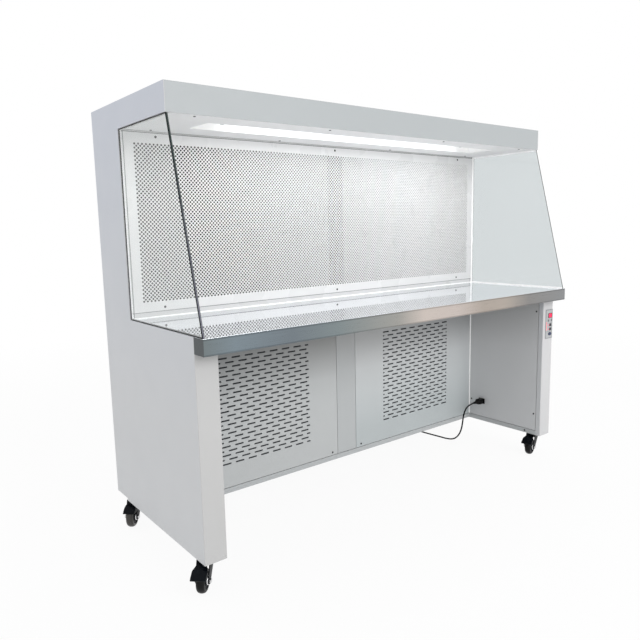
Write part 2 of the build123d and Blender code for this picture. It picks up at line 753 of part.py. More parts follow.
def caster_wheel():
    """Wheel with a bevelled tread, a rim step, and a hub that fills the fork between two thread guards."""
    half = wheel_width / 2
    hub_half = fork_half_width - fork_wall - fork_gap
    bore = axle_radius + running_clearance
    right_half = [
        (wheel_radius, 0), (wheel_radius - 1.6, half - 4.5), (wheel_radius - 6, half), (26, half), (24, half - 4),
        (11, half - 4), (11, hub_half - 3), (ring_radius, hub_half - 3), (ring_radius, hub_half - 0.6),
        (ring_radius - 0.6, hub_half), (bore, hub_half),
    ]
    left_half = [(radius, -y) for radius, y in reversed(right_half[1:])]
    section = Plane.XY * make_face(Polyline(*left_half, *right_half, close=True))
    wheel = revolve(section, axis=Axis.Y)
    return Pos(caster_offset, 0, wheel_radius) * wheel


def brake_pedal():
    """Wing-shaped pedal that hoods the wheel and presses on the tread."""
    px, pz = pedal_pivot
    wing = [(34, 84.5), (80, 63.5), (83, 60), (85, 62.5), (81, 68.5), (60, 81), (34, 89.5)]
    root = [(px - 5, pz - 4), (px + 6, pz - 3.5), (34, 84.5), (34, 87.5), (px + 4, pz + 4), (px - 5, pz + 4)]
    plane = Plane(origin=(0, 0, 0), x_dir=(1, 0, 0), z_dir=(0, -1, 0))
    root_half = fork_half_width - fork_wall - 0.5
    body = extrude(plane * make_face(Polyline(*root, close=True)), root_half, both=True)
    body += extrude(plane * make_face(Polyline(*wing, close=True)), pedal_half_width, both=True)
    taper = 10.0
    for side in (-1, 1):
        edge = pedal_half_width * side
        wedge = make_face(Polyline((33, edge), (33, edge - side * taper), (62, edge), close=True))
        body -= extrude(wedge, 200)
    return body + cross_bar(px, pz, pedal_pin_radius, fork_half_width)


# ---- fasteners ---------------------------------------------------------------------------------
def panel_screws():
    """Domed screw heads of the knee-space covers, diffuser, ceiling and back panel."""
    solids = []

    def head(point, direction):
        plane = Plane(origin=point, z_dir=direction)
        solids.append(extrude(plane * RegularPolygon(screw_head_radius, 8), screw_head_thick))

    for s in (-1, 1):
        for y, z in ((leg_return_y + 13, 200), (leg_return_y + 13, 679), (knee_wall_y - 14, 200), (knee_wall_y - 14, 679)):
            head((s * leg_inner_x, y, z), (-s, 0, 0))
        for z in (134, 745):
            head((s * 81, knee_wall_y, z), (0, -1, 0))
            head((s * 790, knee_wall_y, z), (0, -1, 0))
        head((s * leg_inner_x, back_y - 610, 110), (-s, 0, 0))
    for x in (-770, 0, 770):
        for z in (817.5, 1385):
            head((x, outlet_y - diffuser_proud, z), (0, -1, 0))
    for x in (-796, -290, 290, 796):
        for y in (back_y - 261, back_y - 560):
            head((x, y, ceiling_z), (0, 0, -1))
    for x in (-880, -440, 0, 440, 880):
        for z in (125, 620, 960, 1470):
            head((x, back_y, z), (0, 1, 0))
    return Compound(children=solids)


# ---- the whole bench ---------------------------------------------------------------------------
def build_nodes():
    nodes = {}

    def pair(name, shapes):
        for side, shape in shapes.items():
            nodes[f"{side}_{name}"] = shape

    skins = both_sides(side_panel())
    skins["right"] -= control_opening()
    pair("side_panel", skins)
    nodes["back_panel"] = back_panel()
    nodes["canopy_cover"] = canopy_cover()
    nodes["ceiling_panel"] = ceiling_panel()
    nodes["lamp_reflector"] = lamp_reflector()
    lamp_middle_y = (lamp_front_y + lamp_back_y) / 2
    nodes["fluorescent_tube"] = lamp_tube(lamp_middle_y - tube_spacing / 2)
    nodes["germicidal_tube"] = lamp_tube(lamp_middle_y + tube_spacing / 2)
    nodes["lamp_holders"] = lamp_holders()

    nodes["worktop"] = worktop()
    pair("glass", both_sides(side_glass()))
    nodes["chamber_sealant"] = chamber_sealant()
    nodes["diffuser_panel"] = diffuser_panel()
    nodes["diffuser_frame"] = diffuser_frame()
    pair("hepa_filter", both_sides(hepa_filter()))

    nodes["base_frame"] = base_frame()
    covers = both_sides(leg_cover())
    covers["right"] -= inlet_opening()
    pair("leg_cover", covers)
    nodes["centre_post"] = centre_post()
    inner_edge = post_half_width + joint_gap
    outer_edge = leg_inner_x - joint_gap
    nodes["right_access_panel"] = access_panel(inner_edge, outer_edge, right_field_x, 0.0)
    nodes["left_access_panel"] = access_panel(-outer_edge, -inner_edge, left_field_x, left_field_shift)
    nodes["prefilters"] = Compound(children=[prefilter(left_field_x), prefilter(right_field_x)])
    nodes["blower_deck"] = blower_deck()
    pair("blower_housing", both_sides(blower_housing()))
    pair("impeller", both_sides(impeller()))
    pair("blower_motor", both_sides(blower_motor()))

    nodes["control_plate"] = control_plate()
    nodes["display_window"] = display_window()
    nodes["control_box"] = control_box()
    for name in button_places:
        nodes[name] = push_button(name)

    nodes["power_inlet"] = power_inlet()
    nodes["power_connector"] = power_connector()
    nodes["power_cord"] = power_cord()
    nodes["cord_coil"] = cord_coil()
    nodes["mains_plug"] = mains_plug()

    mounts = []
    for corner, heading in caster_headings.items():
        x = caster_x if corner[1] == "r" else -caster_x
        y = front_caster_y if corner[0] == "f" else rear_caster_y
        braked = corner[0] == "f"
        mounts.append(Pos(x, y, 0) * caster_mount())
        nodes[f"caster_{corner}_fork"] = turned(caster_fork(braked), x, y, heading)
        nodes[f"caster_{corner}_wheel"] = turned(caster_wheel(), x, y, heading)
        nodes[f"caster_{corner}_axle"] = turned(caster_axle(), x, y, heading)
        if braked:
            nodes[f"caster_{corner}_pedal"] = turned(brake_pedal(), x, y, heading)
    nodes["caster_plates"] = Compound(children=mounts)
    nodes["panel_screws"] = panel_screws()
    return nodes


os.makedirs("parts", exist_ok=True)
for node_name, node_shape in build_nodes().items():
    export_step(node_shape, f"parts/{node_name}.step")
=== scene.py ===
"""Horizontal laminar flow bench: finishes, fine pieces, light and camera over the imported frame. Metres."""

from math import cos, pi, radians, sin

import bmesh
import bpy
from mathutils import Matrix, Vector


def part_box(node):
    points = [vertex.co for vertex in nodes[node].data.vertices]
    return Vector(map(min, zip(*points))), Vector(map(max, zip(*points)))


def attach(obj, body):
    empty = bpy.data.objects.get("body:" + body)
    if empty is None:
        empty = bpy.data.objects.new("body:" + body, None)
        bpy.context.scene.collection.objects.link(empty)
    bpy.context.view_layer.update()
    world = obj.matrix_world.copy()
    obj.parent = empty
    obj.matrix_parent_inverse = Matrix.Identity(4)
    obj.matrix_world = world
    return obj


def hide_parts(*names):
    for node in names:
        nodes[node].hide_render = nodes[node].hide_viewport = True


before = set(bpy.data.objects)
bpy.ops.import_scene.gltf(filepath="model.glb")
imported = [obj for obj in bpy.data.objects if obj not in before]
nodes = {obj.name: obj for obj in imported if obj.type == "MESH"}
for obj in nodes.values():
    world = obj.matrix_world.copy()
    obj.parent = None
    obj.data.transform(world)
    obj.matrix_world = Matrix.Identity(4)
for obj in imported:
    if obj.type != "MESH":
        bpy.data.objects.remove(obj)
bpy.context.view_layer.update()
scene = bpy.context.scene

# ---- camera ----
CAMERA_PLACE = Vector((-1.6771, -1.8734, 1.0792))
CAMERA_YAW = 38.2           # degrees from +Y towards +X
CAMERA_PITCH = -8.5
CAMERA_ROLL = -1.2
CAMERA_LENS = 35.08         # millimetres on a 36 mm wide sensor

# ---- light ----
SKY = 0.86                  # strength of the even studio light
FLOOR_FADE = (2.2, 4.6)     # the floor turns into the white backdrop between these radii
FLOOR_WHITE = 0.93          # how white the floor looks round the bench
FLOOR_SIZE = 40.0
KEY_PLACE, KEY_TARGET = (0.5, -4.2, 2.6), (0.0, 0.0, 0.8)
KEY_SIZE = (3.0, 2.0)
KEY_POWER = 72              # watts

# ---- places on the bench ----
WORKTOP_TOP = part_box("worktop")[1][2]
OUTLET_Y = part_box("diffuser_frame")[0][1]
CEILING_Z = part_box("ceiling_panel")[0][2]
PLATE_LOW, PLATE_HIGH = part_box("control_plate")
LAMP_FADE = (0.50, 0.62)    # the trough's painted lamp light fades between these distances from the middle

# ---- diffuser ----
HOLE_PITCH = 0.0133
HOLE_RADIUS = 0.0035
HOLE_SIDES = 8
HOLE_COLUMNS = 128
HOLE_ROWS = 40
HOLE_FIELD_Z = 1.1005       # middle of the perforated field
SHEET = 0.0015
HOLE_DEPTH = 0.0042         # the punched holes are drawn inwards this far
# painted light and shade in the holes along the bench: darkest at the left end, a dark band where the two
# filters meet, lighter towards the right
HOLE_TONES = [(-0.90, 0.01), (-0.65, 0.04), (-0.45, 0.22), (-0.25, 0.42), (-0.045, 0.50), (-0.035, 0.20),
              (0.035, 0.20), (0.045, 0.55), (0.20, 0.68), (0.50, 0.82), (0.90, 0.66)]
HOLE_SHADE_Z = (0.85, 1.30)  # painted shade: the holes' walls darken downwards between these heights
JOINT_SHADOW_WIDTH = 0.0022         # painted shadow line round the diffuser panel, outside its edge
JOINT_OVERLAP = 0.001       # and inside it
LEFT_SHADE_LENGTH = 0.4              # length at the outlet's left end with painted shade, where the lamps light less

# ---- apron: painted reflections that its brushed face shows along the bench ----
APRON_REACH = 0.9
APRON_CORNER = 0.8993       # the closed corners lie beyond this reach
APRON_BENDS = ((0.0012, 0.0065), (0.0455, 0.0600))     # painted shade lines at the bends, by their depth below the top
BEND_SHADE = 0.28
TOP_SKIN = 0.0009           # what lies less than this below the top is polished
TOP_SHEEN = 0.80            # share of the polished top's light that is mirrored
APRON_REFLECTIONS = [
    (-0.90, (0.24, 0.28, 0.29)), (-0.80, (0.28, 0.34, 0.38)), (-0.60, (0.24, 0.28, 0.31)),
    (-0.42, (0.30, 0.35, 0.36)), (-0.15, (0.48, 0.47, 0.44)), (-0.02, (0.80, 0.71, 0.65)),
    (0.16, (0.78, 0.69, 0.64)), (0.32, (0.58, 0.51, 0.45)), (0.46, (0.60, 0.53, 0.47)),
    (0.62, (0.36, 0.35, 0.34)), (0.90, (0.36, 0.37, 0.38)),
]

# ---- glass and silicone ----
GLASS_CHAMFER = 0.0022
GLASS_TOP_INSET = 0.0015    # upper front corner of a pane, behind the canopy's front
GLASS_EDGE_FADE = 0.15      # the painted light at the edge's foot has faded out this far under the ceiling
BEAD_LEG = 0.0055           # silicone along the glass, at the worktop and the outlet wall
TOP_BEAD_LEG = 0.0060       # under the ceiling
REAR_BEAD_LEG = 0.0032      # between the worktop and the outlet wall
KNEE_BEAD_LEG = 0.0030      # in the knee space's rear corners
BEAD_STEP = 0.03
BEAD_HOLLOW = 0.34          # middle of the concave face, as a share of the leg
BEAD_SEAT = 0.0004          # the beads at the worktop start this far below its top
BEAD_INSET = 0.003          # and this far behind the front edges
BEAD_END_GAP = 0.0005

# ---- screws ----
SCREW_RADIUS = 0.0042
SCREW_SIDES = 12
SCREW_RISE = 0.0016
SCREW_PROFILE = ((1.0, 0.0), (1.0, 0.0007), (0.72, SCREW_RISE))     # share of the radius, height
CROSS_ARM, CROSS_HALF = 0.5, 0.11       # the recess, in shares of the radius
CROSS_TAPER = 0.8
CROSS_FLOOR = 0.0006
REAR_HEADS_Y = 0.30         # heads behind this look backwards

# ---- casters ----
# short name, x and y of the swivel, heading in degrees
CASTER_PLACES = {"front_left": ("fl", -0.866, -0.2545, 225.5), "front_right": ("fr", 0.866, -0.2545, 194.5),
                 "rear_left": ("rl", -0.866, 0.2975, 228.5), "rear_right": ("rr", 0.866, 0.2975, 14.0)}
CASTER_OFFSET = 0.036       # from the swivel to the wheel's middle
WHEEL_RADIUS = 0.0375
WHEEL_STEPS = 56
# half sections of a wheel: radius, offset along the axle
TYRE_SHOULDER = [(0.0262, 0.0126), (0.0290, 0.0132), (0.0315, 0.0128), (0.0337, 0.0114), (0.0354, 0.0092),
                 (0.0366, 0.0064), (0.0373, 0.0033)]
HUB_WEB = [(0.0262, 0.0126), (0.0252, 0.0104), (0.0180, 0.0098), (0.0150, 0.0118), (0.0132, 0.0152)]
THREAD_GUARD = [(0.0132, 0.0152), (0.0134, 0.0176), (0.0126, 0.0182), (0.0112, 0.0178), (0.0106, 0.0160),
                (0.0098, 0.0152), (0.0060, 0.0150)]

# ---- control plate ----
PRINT_LIFT = 0.00012        # printed fields stand this far off their plate
FRAME_INSET, FRAME_LINE = 0.0020, 0.0013
RULE_INSET = 0.007
RULES_Z = ((0.6245, 0.6252), (0.5862, 0.5869))
PINK_FIELD = (0.8462, 0.8535, 0.592, 0.632)             # x limits, z limits
RED_MARKS_X, RED_MARKS_Z = (0.8640, 0.8700), (0.5973, 0.6164)
RED_MARK_HALF = 0.0030
BUTTON_FIELDS = (("fan_button", 0.0088, 0.0066), ("lamp_button", 0.0088, 0.0066),
                 ("select_button", 0.0058, 0.0052), ("set_button", 0.0058, 0.0052))
LIT_HALF_WIDE, LIT_HALF_TALL = 0.0105, 0.0085
FIGURES = "245"
FIGURE_START = (-0.0085, -0.0045)       # lower left corner of the first, from the window's middle
FIGURE_PITCH = 0.0061
FIGURE_WIDE, FIGURE_TALL = 0.0046, 0.0090
FIGURE_BAR = 0.2            # a segment's width, as a share of the figure's
SEGMENTS = {"2": "abged", "4": "fgbc", "5": "afgcd"}

# ---- mains lead ----
CORD_DIAMETER = 0.007
CORD_ROUTE = [
    (0.7590, 0.0095, 0.2015), (0.7270, 0.0095, 0.1990), (0.6980, 0.0100, 0.1830), (0.6840, 0.0110, 0.1520),
    (0.6820, 0.0140, 0.1140), (0.6850, 0.0240, 0.0760), (0.6890, 0.0440, 0.0420), (0.6930, 0.0750, 0.0150),
    (0.6950, 0.1180, 0.0045), (0.6930, 0.1720, 0.0037), (0.6860, 0.2320, 0.0037), (0.6810, 0.2960, 0.0037),
    (0.6790, 0.3520, 0.0037), (0.6755, 0.3990, 0.0037), (0.6736, 0.4380, 0.0037)]
COIL_CENTRE = (0.628, 0.446)
# radius and height of each turn
COIL_SLOTS = [(0.0456, 0.0037), (0.0384, 0.0037), (0.0384, 0.0109), (0.0456, 0.0109), (0.0456, 0.0178)]
COIL_TURN = 1550.0          # degrees wound, from the lead's arrival at the coil
COIL_STEP = 30.0
COIL_SHIFT_EVERY = 310.0    # degrees between moves to the next slot
COIL_SHIFT_LENGTH = 40.0
CONNECTOR_SIDES = 32
# along the connector from the inlet: distance, half width, half height, squareness
CONNECTOR_BODY = [(0.0, 0.0128, 0.0118, 6), (0.0012, 0.0136, 0.0126, 6), (0.0250, 0.0136, 0.0126, 6),
                  (0.0330, 0.0126, 0.0118, 5), (0.0390, 0.0098, 0.0096, 3.5), (0.0430, 0.0072, 0.0072, 2)]
SLEEVE_RIBS = 5
SLEEVE_TIP = 0.0046
RIB_PROFILE = ((0.1, 0.0), (0.6, 0.0), (0.7, 0.0009), (1.0, 0.0009))    # share of a rib's length, drop
PLUG_END = [(0.6040, 0.4900, 0.0150), (0.5900, 0.4810, 0.0110), (0.5765, 0.4780, 0.0100)]


# ==== helpers ====
def dress(made, finishes, replaces=(), body="cabinet"):
    """Gives a new piece its finishes and its body, and hides the CAD nodes it stands for."""
    if made.data.materials:
        made.data.materials.clear()         # this also sends every face back to the first finish
    for finish in finishes:
        made.data.materials.append(finish)
    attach(made, body)
    if replaces:
        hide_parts(*replaces)
    return made


def piece_from(bm, name, smooth=True):
    """A new object, at the origin, from a bmesh."""
    mesh = bpy.data.meshes.new(name)
    bm.to_mesh(mesh)
    bm.free()
    for face in mesh.polygons:
        face.use_smooth = smooth
    made = bpy.data.objects.new(name, mesh)
    scene.collection.objects.link(made)
    return made


def round_points(sides, shift=0.0):
    """Cosine and sine of evenly spaced directions."""
    angles = [2 * pi * (i + shift) / sides for i in range(sides)]
    return [(cos(angle), sin(angle)) for angle in angles]


def skin(bm, rows, around=False, finish=0):
    """Faces between successive rows of vertices; around closes each row on itself."""
    faces = []
    for one, two in zip(rows, rows[1:]):
        for i in range(len(one) if around else len(one) - 1):
            k = (i + 1) % len(one)
            faces.append(bm.faces.new([one[i], one[k], two[k], two[i]]))
            faces[-1].material_index = finish
    return faces


def turn_to(face, out):
    """Flips a face that looks away from a direction."""
    face.normal_update()
    if face.normal.dot(Vector(out)) < 0:
        face.normal_flip()


def flat_face(bm, points, out=(0, -1, 0), finish=0):
    """A face of new vertices that looks along a direction, unless told otherwise to the front."""
    made = bm.faces.new([bm.verts.new(point) for point in points])
    made.material_index = finish
    turn_to(made, out)


def turn_all(bm, out):
    """Gives all faces one sense, so that most of their area looks along a direction."""
    bmesh.ops.recalc_face_normals(bm, faces=bm.faces)
    if sum(face.normal.dot(Vector(out)) * face.calc_area() for face in bm.faces) < 0:
        bmesh.ops.reverse_faces(bm, faces=bm.faces)


# ==== camera and mains lead ====
def build_camera():
    """Camera turned by yaw, pitch and roll."""
    yaw, pitch, roll = (radians(a) for a in (CAMERA_YAW, CAMERA_PITCH, CAMERA_ROLL))
    ahead = Vector((sin(yaw) * cos(pitch), cos(yaw) * cos(pitch), sin(pitch)))
    level = Vector((cos(yaw), -sin(yaw), 0))
    above = level.cross(ahead)
    right = level * cos(roll) + above * sin(roll)
    up = above * cos(roll) - level * sin(roll)
    data = bpy.data.cameras.new("studio_camera")
    data.lens = CAMERA_LENS
    data.sensor_width = 36.0
    data.clip_end = 200.0
    camera = bpy.data.objects.new("studio_camera", data)
    turn = Matrix((right, up, -ahead)).transposed().to_4x4()
    camera.matrix_world = Matrix.Translation(CAMERA_PLACE) @ turn
    scene.collection.objects.link(camera)
    scene.camera = camera


def coil_points():
    """Control points of the wound coil: each slot is one turn, and moves come a little earlier every turn."""
    centre_x, centre_y = COIL_CENTRE
    arrive = Vector((CORD_ROUTE[-1][0] - centre_x, CORD_ROUTE[-1][1] - centre_y))
    first = arrive.angle_signed(Vector((1, 0)))
    draw_in = 1 / cos(radians(COIL_STEP / 2))     # a spline of this order runs inside its points
    points = []
    wound = COIL_STEP
    while wound <= COIL_TURN:
        moves = wound / COIL_SHIFT_EVERY
        index = min(int(moves), len(COIL_SLOTS) - 1)
        radius, height = COIL_SLOTS[index]
        since = wound - index * COIL_SHIFT_EVERY
        if index and since < COIL_SHIFT_LENGTH:
            before = COIL_SLOTS[index - 1]
            share = since / COIL_SHIFT_LENGTH
            radius = before[0] + (radius - before[0]) * share
            height = before[1] + (height - before[1]) * share
        angle = first + radians(wound)
        reach = radius * draw_in
        points.append((centre_x + reach * cos(angle), centre_y + reach * sin(angle), height))
        wound += COIL_STEP
    return points


def squared_ring(bm, x, half_y, half_z, power):
    """Ring of points round the connector's axis: an oval at power 2, nearly a rectangle at 6."""
    ring = []
    for y, z in round_points(CONNECTOR_SIDES, 0.5):
        y = abs(y) ** (2 / power) * (1 if y > 0 else -1)
        z = abs(z) ** (2 / power) * (1 if z > 0 else -1)
        ring.append(bm.verts.new((x, CORD_ROUTE[0][1] + half_y * y, CORD_ROUTE[0][2] + half_z * z)))
    return ring


def build_connector():
    """Moulded connector of the lead: a blunt body, a waist, and a ribbed sleeve that tapers to the cord."""
    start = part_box("power_connector")[1][0]
    length = start - CORD_ROUTE[0][0]
    sections = list(CONNECTOR_BODY)
    neck = sections[-1]
    rib_step = (length - neck[0]) / SLEEVE_RIBS
    for i in range(SLEEVE_RIBS):
        radius = neck[1] + (SLEEVE_TIP - neck[1]) * i / SLEEVE_RIBS
        for share, drop in RIB_PROFILE:
            sections.append((neck[0] + (i + share) * rib_step, radius - drop, radius - drop, 2))
    bm = bmesh.new()
    rings = [squared_ring(bm, start - along, half_y, half_z, power)
             for along, half_y, half_z, power in sections]
    skin(bm, rings, around=True)
    bm.faces.new(rings[0])
    bm.faces.new(rings[-1])
    bmesh.ops.recalc_face_normals(bm, faces=bm.faces)
    connector = piece_from(bm, "lead_connector")
    connector.data.set_sharp_from_angle(angle=radians(40))
    return dress(connector, (), ["power_connector"])


def build_cord():
    """The mains lead: one smooth line from the connector's relief through the put-away coil to the plug."""
    points = CORD_ROUTE + coil_points() + PLUG_END
    curve = bpy.data.curves.new("mains_lead", "CURVE")
    curve.dimensions = "3D"
    curve.bevel_depth = CORD_DIAMETER / 2
    curve.bevel_resolution = 3
    curve.resolution_u = 6
    curve.use_fill_caps = True
    spline = curve.splines.new("NURBS")
    spline.points.add(len(points) - 1)
    for point, place in zip(spline.points, points):
        point.co = (*place, 1)
    spline.order_u = 3
    spline.use_endpoint_u = True
    lead = bpy.data.objects.new("mains_lead", curve)
    scene.collection.objects.link(lead)
    dress(lead, (), ["power_cord", "cord_coil"])
    return lead


build_camera()
lead_connector = build_connector()
mains_lead = build_cord()


# ==== node trees ====
class Tree:
    """Small wrapper that adds and links shader or geometry nodes."""

    def __init__(self, tree):
        self.tree = tree

    def add(self, kind, inputs=None, **settings):
        node = self.tree.nodes.new(kind)
        for key, value in settings.items():
            setattr(node, key, value)
        for key, value in (inputs or {}).items():
            socket = node.inputs[key]
            if isinstance(value, bpy.types.NodeSocket):
                self.tree.links.new(value, socket)
            else:
                socket.default_value = value
        return node

    def link(self, source, target):
        self.tree.links.new(source, target)

    def place(self):
        """Object coordinates."""
        return self.add("ShaderNodeTexCoord").outputs["Object"]

    def parts(self, place=None):
        """The parts X, Y and Z of a place."""
        return self.add("ShaderNodeSeparateXYZ", {"Vector": place or self.place()}).outputs

    def math(self, operation, first, second=None):
        """Result of a sum on one or two values."""
        inputs = {0: first} if second is None else {0: first, 1: second}
        return self.add("ShaderNodeMath", inputs, operation=operation).outputs[0]

    def ramp(self, value, low, high, first=0.0, last=1.0):
        """Turns the range low to high into first to last, and holds it outside."""
        return self.add("ShaderNodeMapRange", {"Value": value, "From Min": low, "From Max": high,
                                               "To Min": first, "To Max": last}).outputs["Result"]

    def mix_colour(self, factor, first, second, blend="MIX"):
        """Mixes two colours; a Mix node's colour sockets come after its number and vector ones."""
        node = self.add("ShaderNodeMix", {0: factor}, data_type="RGBA", blend_type=blend)
        for index, value in ((6, first), (7, second)):
            if isinstance(value, bpy.types.NodeSocket):
                self.link(value, node.inputs[index])
            else:
                node.inputs[index].default_value = (*value[:3], 1)
        return node.outputs[2]

    def noise(self, place, scale, detail=2.0, roughness=0.5):
        """Noise value at a place."""
        return self.add("ShaderNodeTexNoise", {"Vector": place, "Scale": scale, "Detail": detail,
                                               "Roughness": roughness}).outputs["Fac"]

    def band(self, value, low, high):
        """1 where the value lies between two limits, else 0."""
        above = self.math("GREATER_THAN", value, low)
        return self.math("MULTIPLY", above, self.math("LESS_THAN", value, high))

    def along_bench(self, tones):
        """Colour that follows a list of (x, colour) steps along the bench."""
        share = self.ramp(self.parts()["X"], -APRON_REACH, APRON_REACH)
        node = self.add("ShaderNodeValToRGB", {"Fac": share})
        while len(node.color_ramp.elements) < len(tones):
            node.color_ramp.elements.new(0.5)
        for element, (x, colour) in zip(node.color_ramp.elements, tones):
            element.position = (x + APRON_REACH) / (2 * APRON_REACH)
            element.color = (*colour[:3], 1)
        return node.outputs["Color"]

    def looked_at(self):
        """1 where a surface is seen by the camera, in a mirror or through glass, else 0."""
        path = self.add("ShaderNodeLightPath")
        seen = self.math("MAXIMUM", path.outputs["Is Camera Ray"], path.outputs["Is Glossy Ray"])
        return self.math("MAXIMUM", seen, path.outputs["Is Transmission Ray"])


def node_group(name, kind, inputs, outputs):
    """An empty node group, its inputs given as kinds or as first values, and its two ends' sockets."""
    group = bpy.data.node_groups.new(name, kind)
    for label, value in inputs.items():
        if isinstance(value, str):
            group.interface.new_socket(label, in_out="INPUT", socket_type=f"NodeSocket{value}")
            continue
        sort = "Float" if isinstance(value, float) else "Vector" if len(value) == 3 else "Color"
        socket = group.interface.new_socket(label, in_out="INPUT", socket_type=f"NodeSocket{sort}")
        socket.default_value = value
    for label, sort in outputs.items():
        group.interface.new_socket(label, in_out="OUTPUT", socket_type=f"NodeSocket{sort}")
    tree = Tree(group)
    return tree, tree.add("NodeGroupInput").outputs, tree.add("NodeGroupOutput").inputs


# ==== shader groups ====
SURFACE = {"Color": "Color", "Roughness": "Float", "Normal": "Vector"}


def end_surface(tree, put, colour, rough, height, strength, distance):
    """Ends a shader group: its colour, its roughness and the normal of its bump."""
    bump = tree.add("ShaderNodeBump", {"Height": height, "Strength": strength, "Distance": distance})
    tree.link(colour, put["Color"])
    tree.link(rough, put["Roughness"])
    tree.link(bump.outputs["Normal"], put["Normal"])
    return tree.tree


def make_coat_group():
    """Powder coat or enamel: orange peel, a faint drift of tone over large areas, and painted light and
    shade.
    """
    tree, given, put = node_group("coat_texture", "ShaderNodeTree", {
        "Color": rgba(0.6), "Top Color": rgba(0.6), "Top From": 0.5, "Top To": 1.5,
        "Front Color": rgba(0.6), "Front Share": 0.0, "Drift": 0.03, "Peel Size": 650.0, "Peel": 0.12,
        "Gloss Low": 0.38, "Gloss High": 0.5}, SURFACE)
    place = tree.place()
    # painted light and shade: a tone that changes towards the top, and another on faces that look forward
    rise = tree.ramp(tree.parts(place)["Z"], given["Top From"], given["Top To"])
    toned = tree.mix_colour(rise, given["Color"], given["Top Color"])
    facing = tree.parts(tree.add("ShaderNodeTexCoord").outputs["Normal"])
    ahead = tree.math("LESS_THAN", facing["Y"], -0.5)
    toned = tree.mix_colour(tree.math("MULTIPLY", ahead, given["Front Share"]), toned, given["Front Color"])
    drift = tree.math("SUBTRACT", tree.noise(place, 2.2, 3.0), 0.5)
    value = tree.math("ADD", tree.math("MULTIPLY", drift, given["Drift"]), 1.0)
    tinted = tree.add("ShaderNodeHueSaturation", {"Color": toned, "Value": value})
    gloss = tree.ramp(tree.noise(place, 9.0, 4.0), 0.3, 0.7, given["Gloss Low"], given["Gloss High"])
    peel = tree.noise(place, given["Peel Size"], 1.0)
    return end_surface(tree, put, tinted.outputs["Color"], gloss, peel, given["Peel"], 0.0003)


def make_grain_group():
    """Brushed metal: fine scratches along one axis, set by how the place is stretched."""
    tree, given, put = node_group("brushed_grain", "ShaderNodeTree", {
        "Stretch": (1, 60, 60), "Dark": rgba(0.4), "Light": rgba(0.6), "Depth": 0.1, "Rough Low": 0.2,
        "Rough High": 0.35}, SURFACE)
    stretched = tree.add("ShaderNodeVectorMath", {0: tree.place(), 1: given["Stretch"]},
                         operation="MULTIPLY")
    grain = tree.noise(stretched.outputs[0], 20.0, 6.0, 0.7)
    colour = tree.mix_colour(grain, given["Dark"], given["Light"])
    rough = tree.ramp(grain, 0.25, 0.75, given["Rough Low"], given["Rough High"])
    return end_surface(tree, put, colour, rough, grain, given["Depth"], 0.0001)


def make_mould_group():
    """Moulded plastic or rubber: fine leathery grain and worn tone."""
    tree, given, put = node_group("moulded_grain", "ShaderNodeTree", {
        "Color": rgba(0.1), "Worn Color": rgba(0.2), "Grain Size": 900.0, "Grain": 0.15,
        "Rough Low": 0.35, "Rough High": 0.55}, SURFACE)
    place = tree.place()
    wear = tree.noise(place, 45.0, 5.0, 0.65)
    colour = tree.mix_colour(tree.ramp(wear, 0.52, 0.78), given["Color"], given["Worn Color"])
    rough = tree.ramp(wear, 0.3, 0.7, given["Rough Low"], given["Rough High"])
    grain = tree.add("ShaderNodeTexVoronoi", {"Vector": place, "Scale": given["Grain Size"]})
    return end_surface(tree, put, colour, rough, grain.outputs["Distance"], given["Grain"], 0.0002)


def rgba(tone):
    """A colour with its alpha, from three parts or from one grey value."""
    return (tone, tone, tone, 1) if isinstance(tone, float) else (*tone, 1)


COAT = make_coat_group()
GRAIN = make_grain_group()
MOULD = make_mould_group()


# ==== materials ====
def new_material(name, **principled):
    """A material with its Principled shader, whose plain values sit on the shader's own sockets."""
    material = bpy.data.materials.new(name)
    material.use_nodes = True
    tree = Tree(material.node_tree)
    shader = material.node_tree.nodes["Principled BSDF"]
    for key, value in principled.items():
        shader.inputs[key.replace("_", " ")].default_value = value
    return material, tree, shader


def placed_group(tree, group, values):
    """A shared group in a material's tree, with that material's values."""
    used = tree.add("ShaderNodeGroup", node_tree=group)
    for key, value in values.items():
        used.inputs[key].default_value = value
    return used


def link_surface(tree, used, shader, colour=None):
    """Gives a shader a group's roughness and normal, and its colour or one made from that."""
    tree.link(colour or used.outputs["Color"], shader.inputs["Base Color"])
    tree.link(used.outputs["Roughness"], shader.inputs["Roughness"])
    tree.link(used.outputs["Normal"], shader.inputs["Normal"])


def link_lit(tree, shader, colour, strength):
    """Gives a shader its colour, in which it also shines when it has a strength."""
    tree.link(colour, shader.inputs["Base Color"])
    if strength:
        tree.link(colour, shader.inputs["Emission Color"])
        shader.inputs["Emission Strength"].default_value = strength


def textured(name, group, values, **principled):
    """A material whose colour, roughness and normal come from one of the shared groups."""
    material, tree, shader = new_material(name, **principled)
    link_surface(tree, placed_group(tree, group, values), shader)
    return material


def coat(name, colour, top=None, front=None, **values):
    """A painted finish: its tone low down, and its painted light and shade near the top and on faces that
    look forward.
    """
    given = {"Color": rgba(colour), "Top Color": rgba(top or colour)}
    if front:
        given.update({"Front Color": rgba(front), "Front Share": 1.0})
    given.update({key.replace("_", " "): value for key, value in values.items()})
    return textured(name, COAT, given)


def metal(name, stretch, dark, light, rough, metallic=1.0):
    """A metal with an even grain: its two tones and its two roughnesses."""
    return textured(name, GRAIN, {
        "Stretch": (stretch, stretch, stretch), "Dark": rgba(dark), "Light": rgba(light),
        "Rough Low": rough[0], "Rough High": rough[1]}, Metallic=metallic)


def moulded(name, colour, worn, rough, grain=0.15, size=900.0, **principled):
    """Plastic, rubber or paper: its tone, its worn tone and its two roughnesses."""
    return textured(name, MOULD, {
        "Color": rgba(colour), "Worn Color": rgba(worn), "Rough Low": rough[0], "Rough High": rough[1],
        "Grain": grain, "Grain Size": size}, **principled)


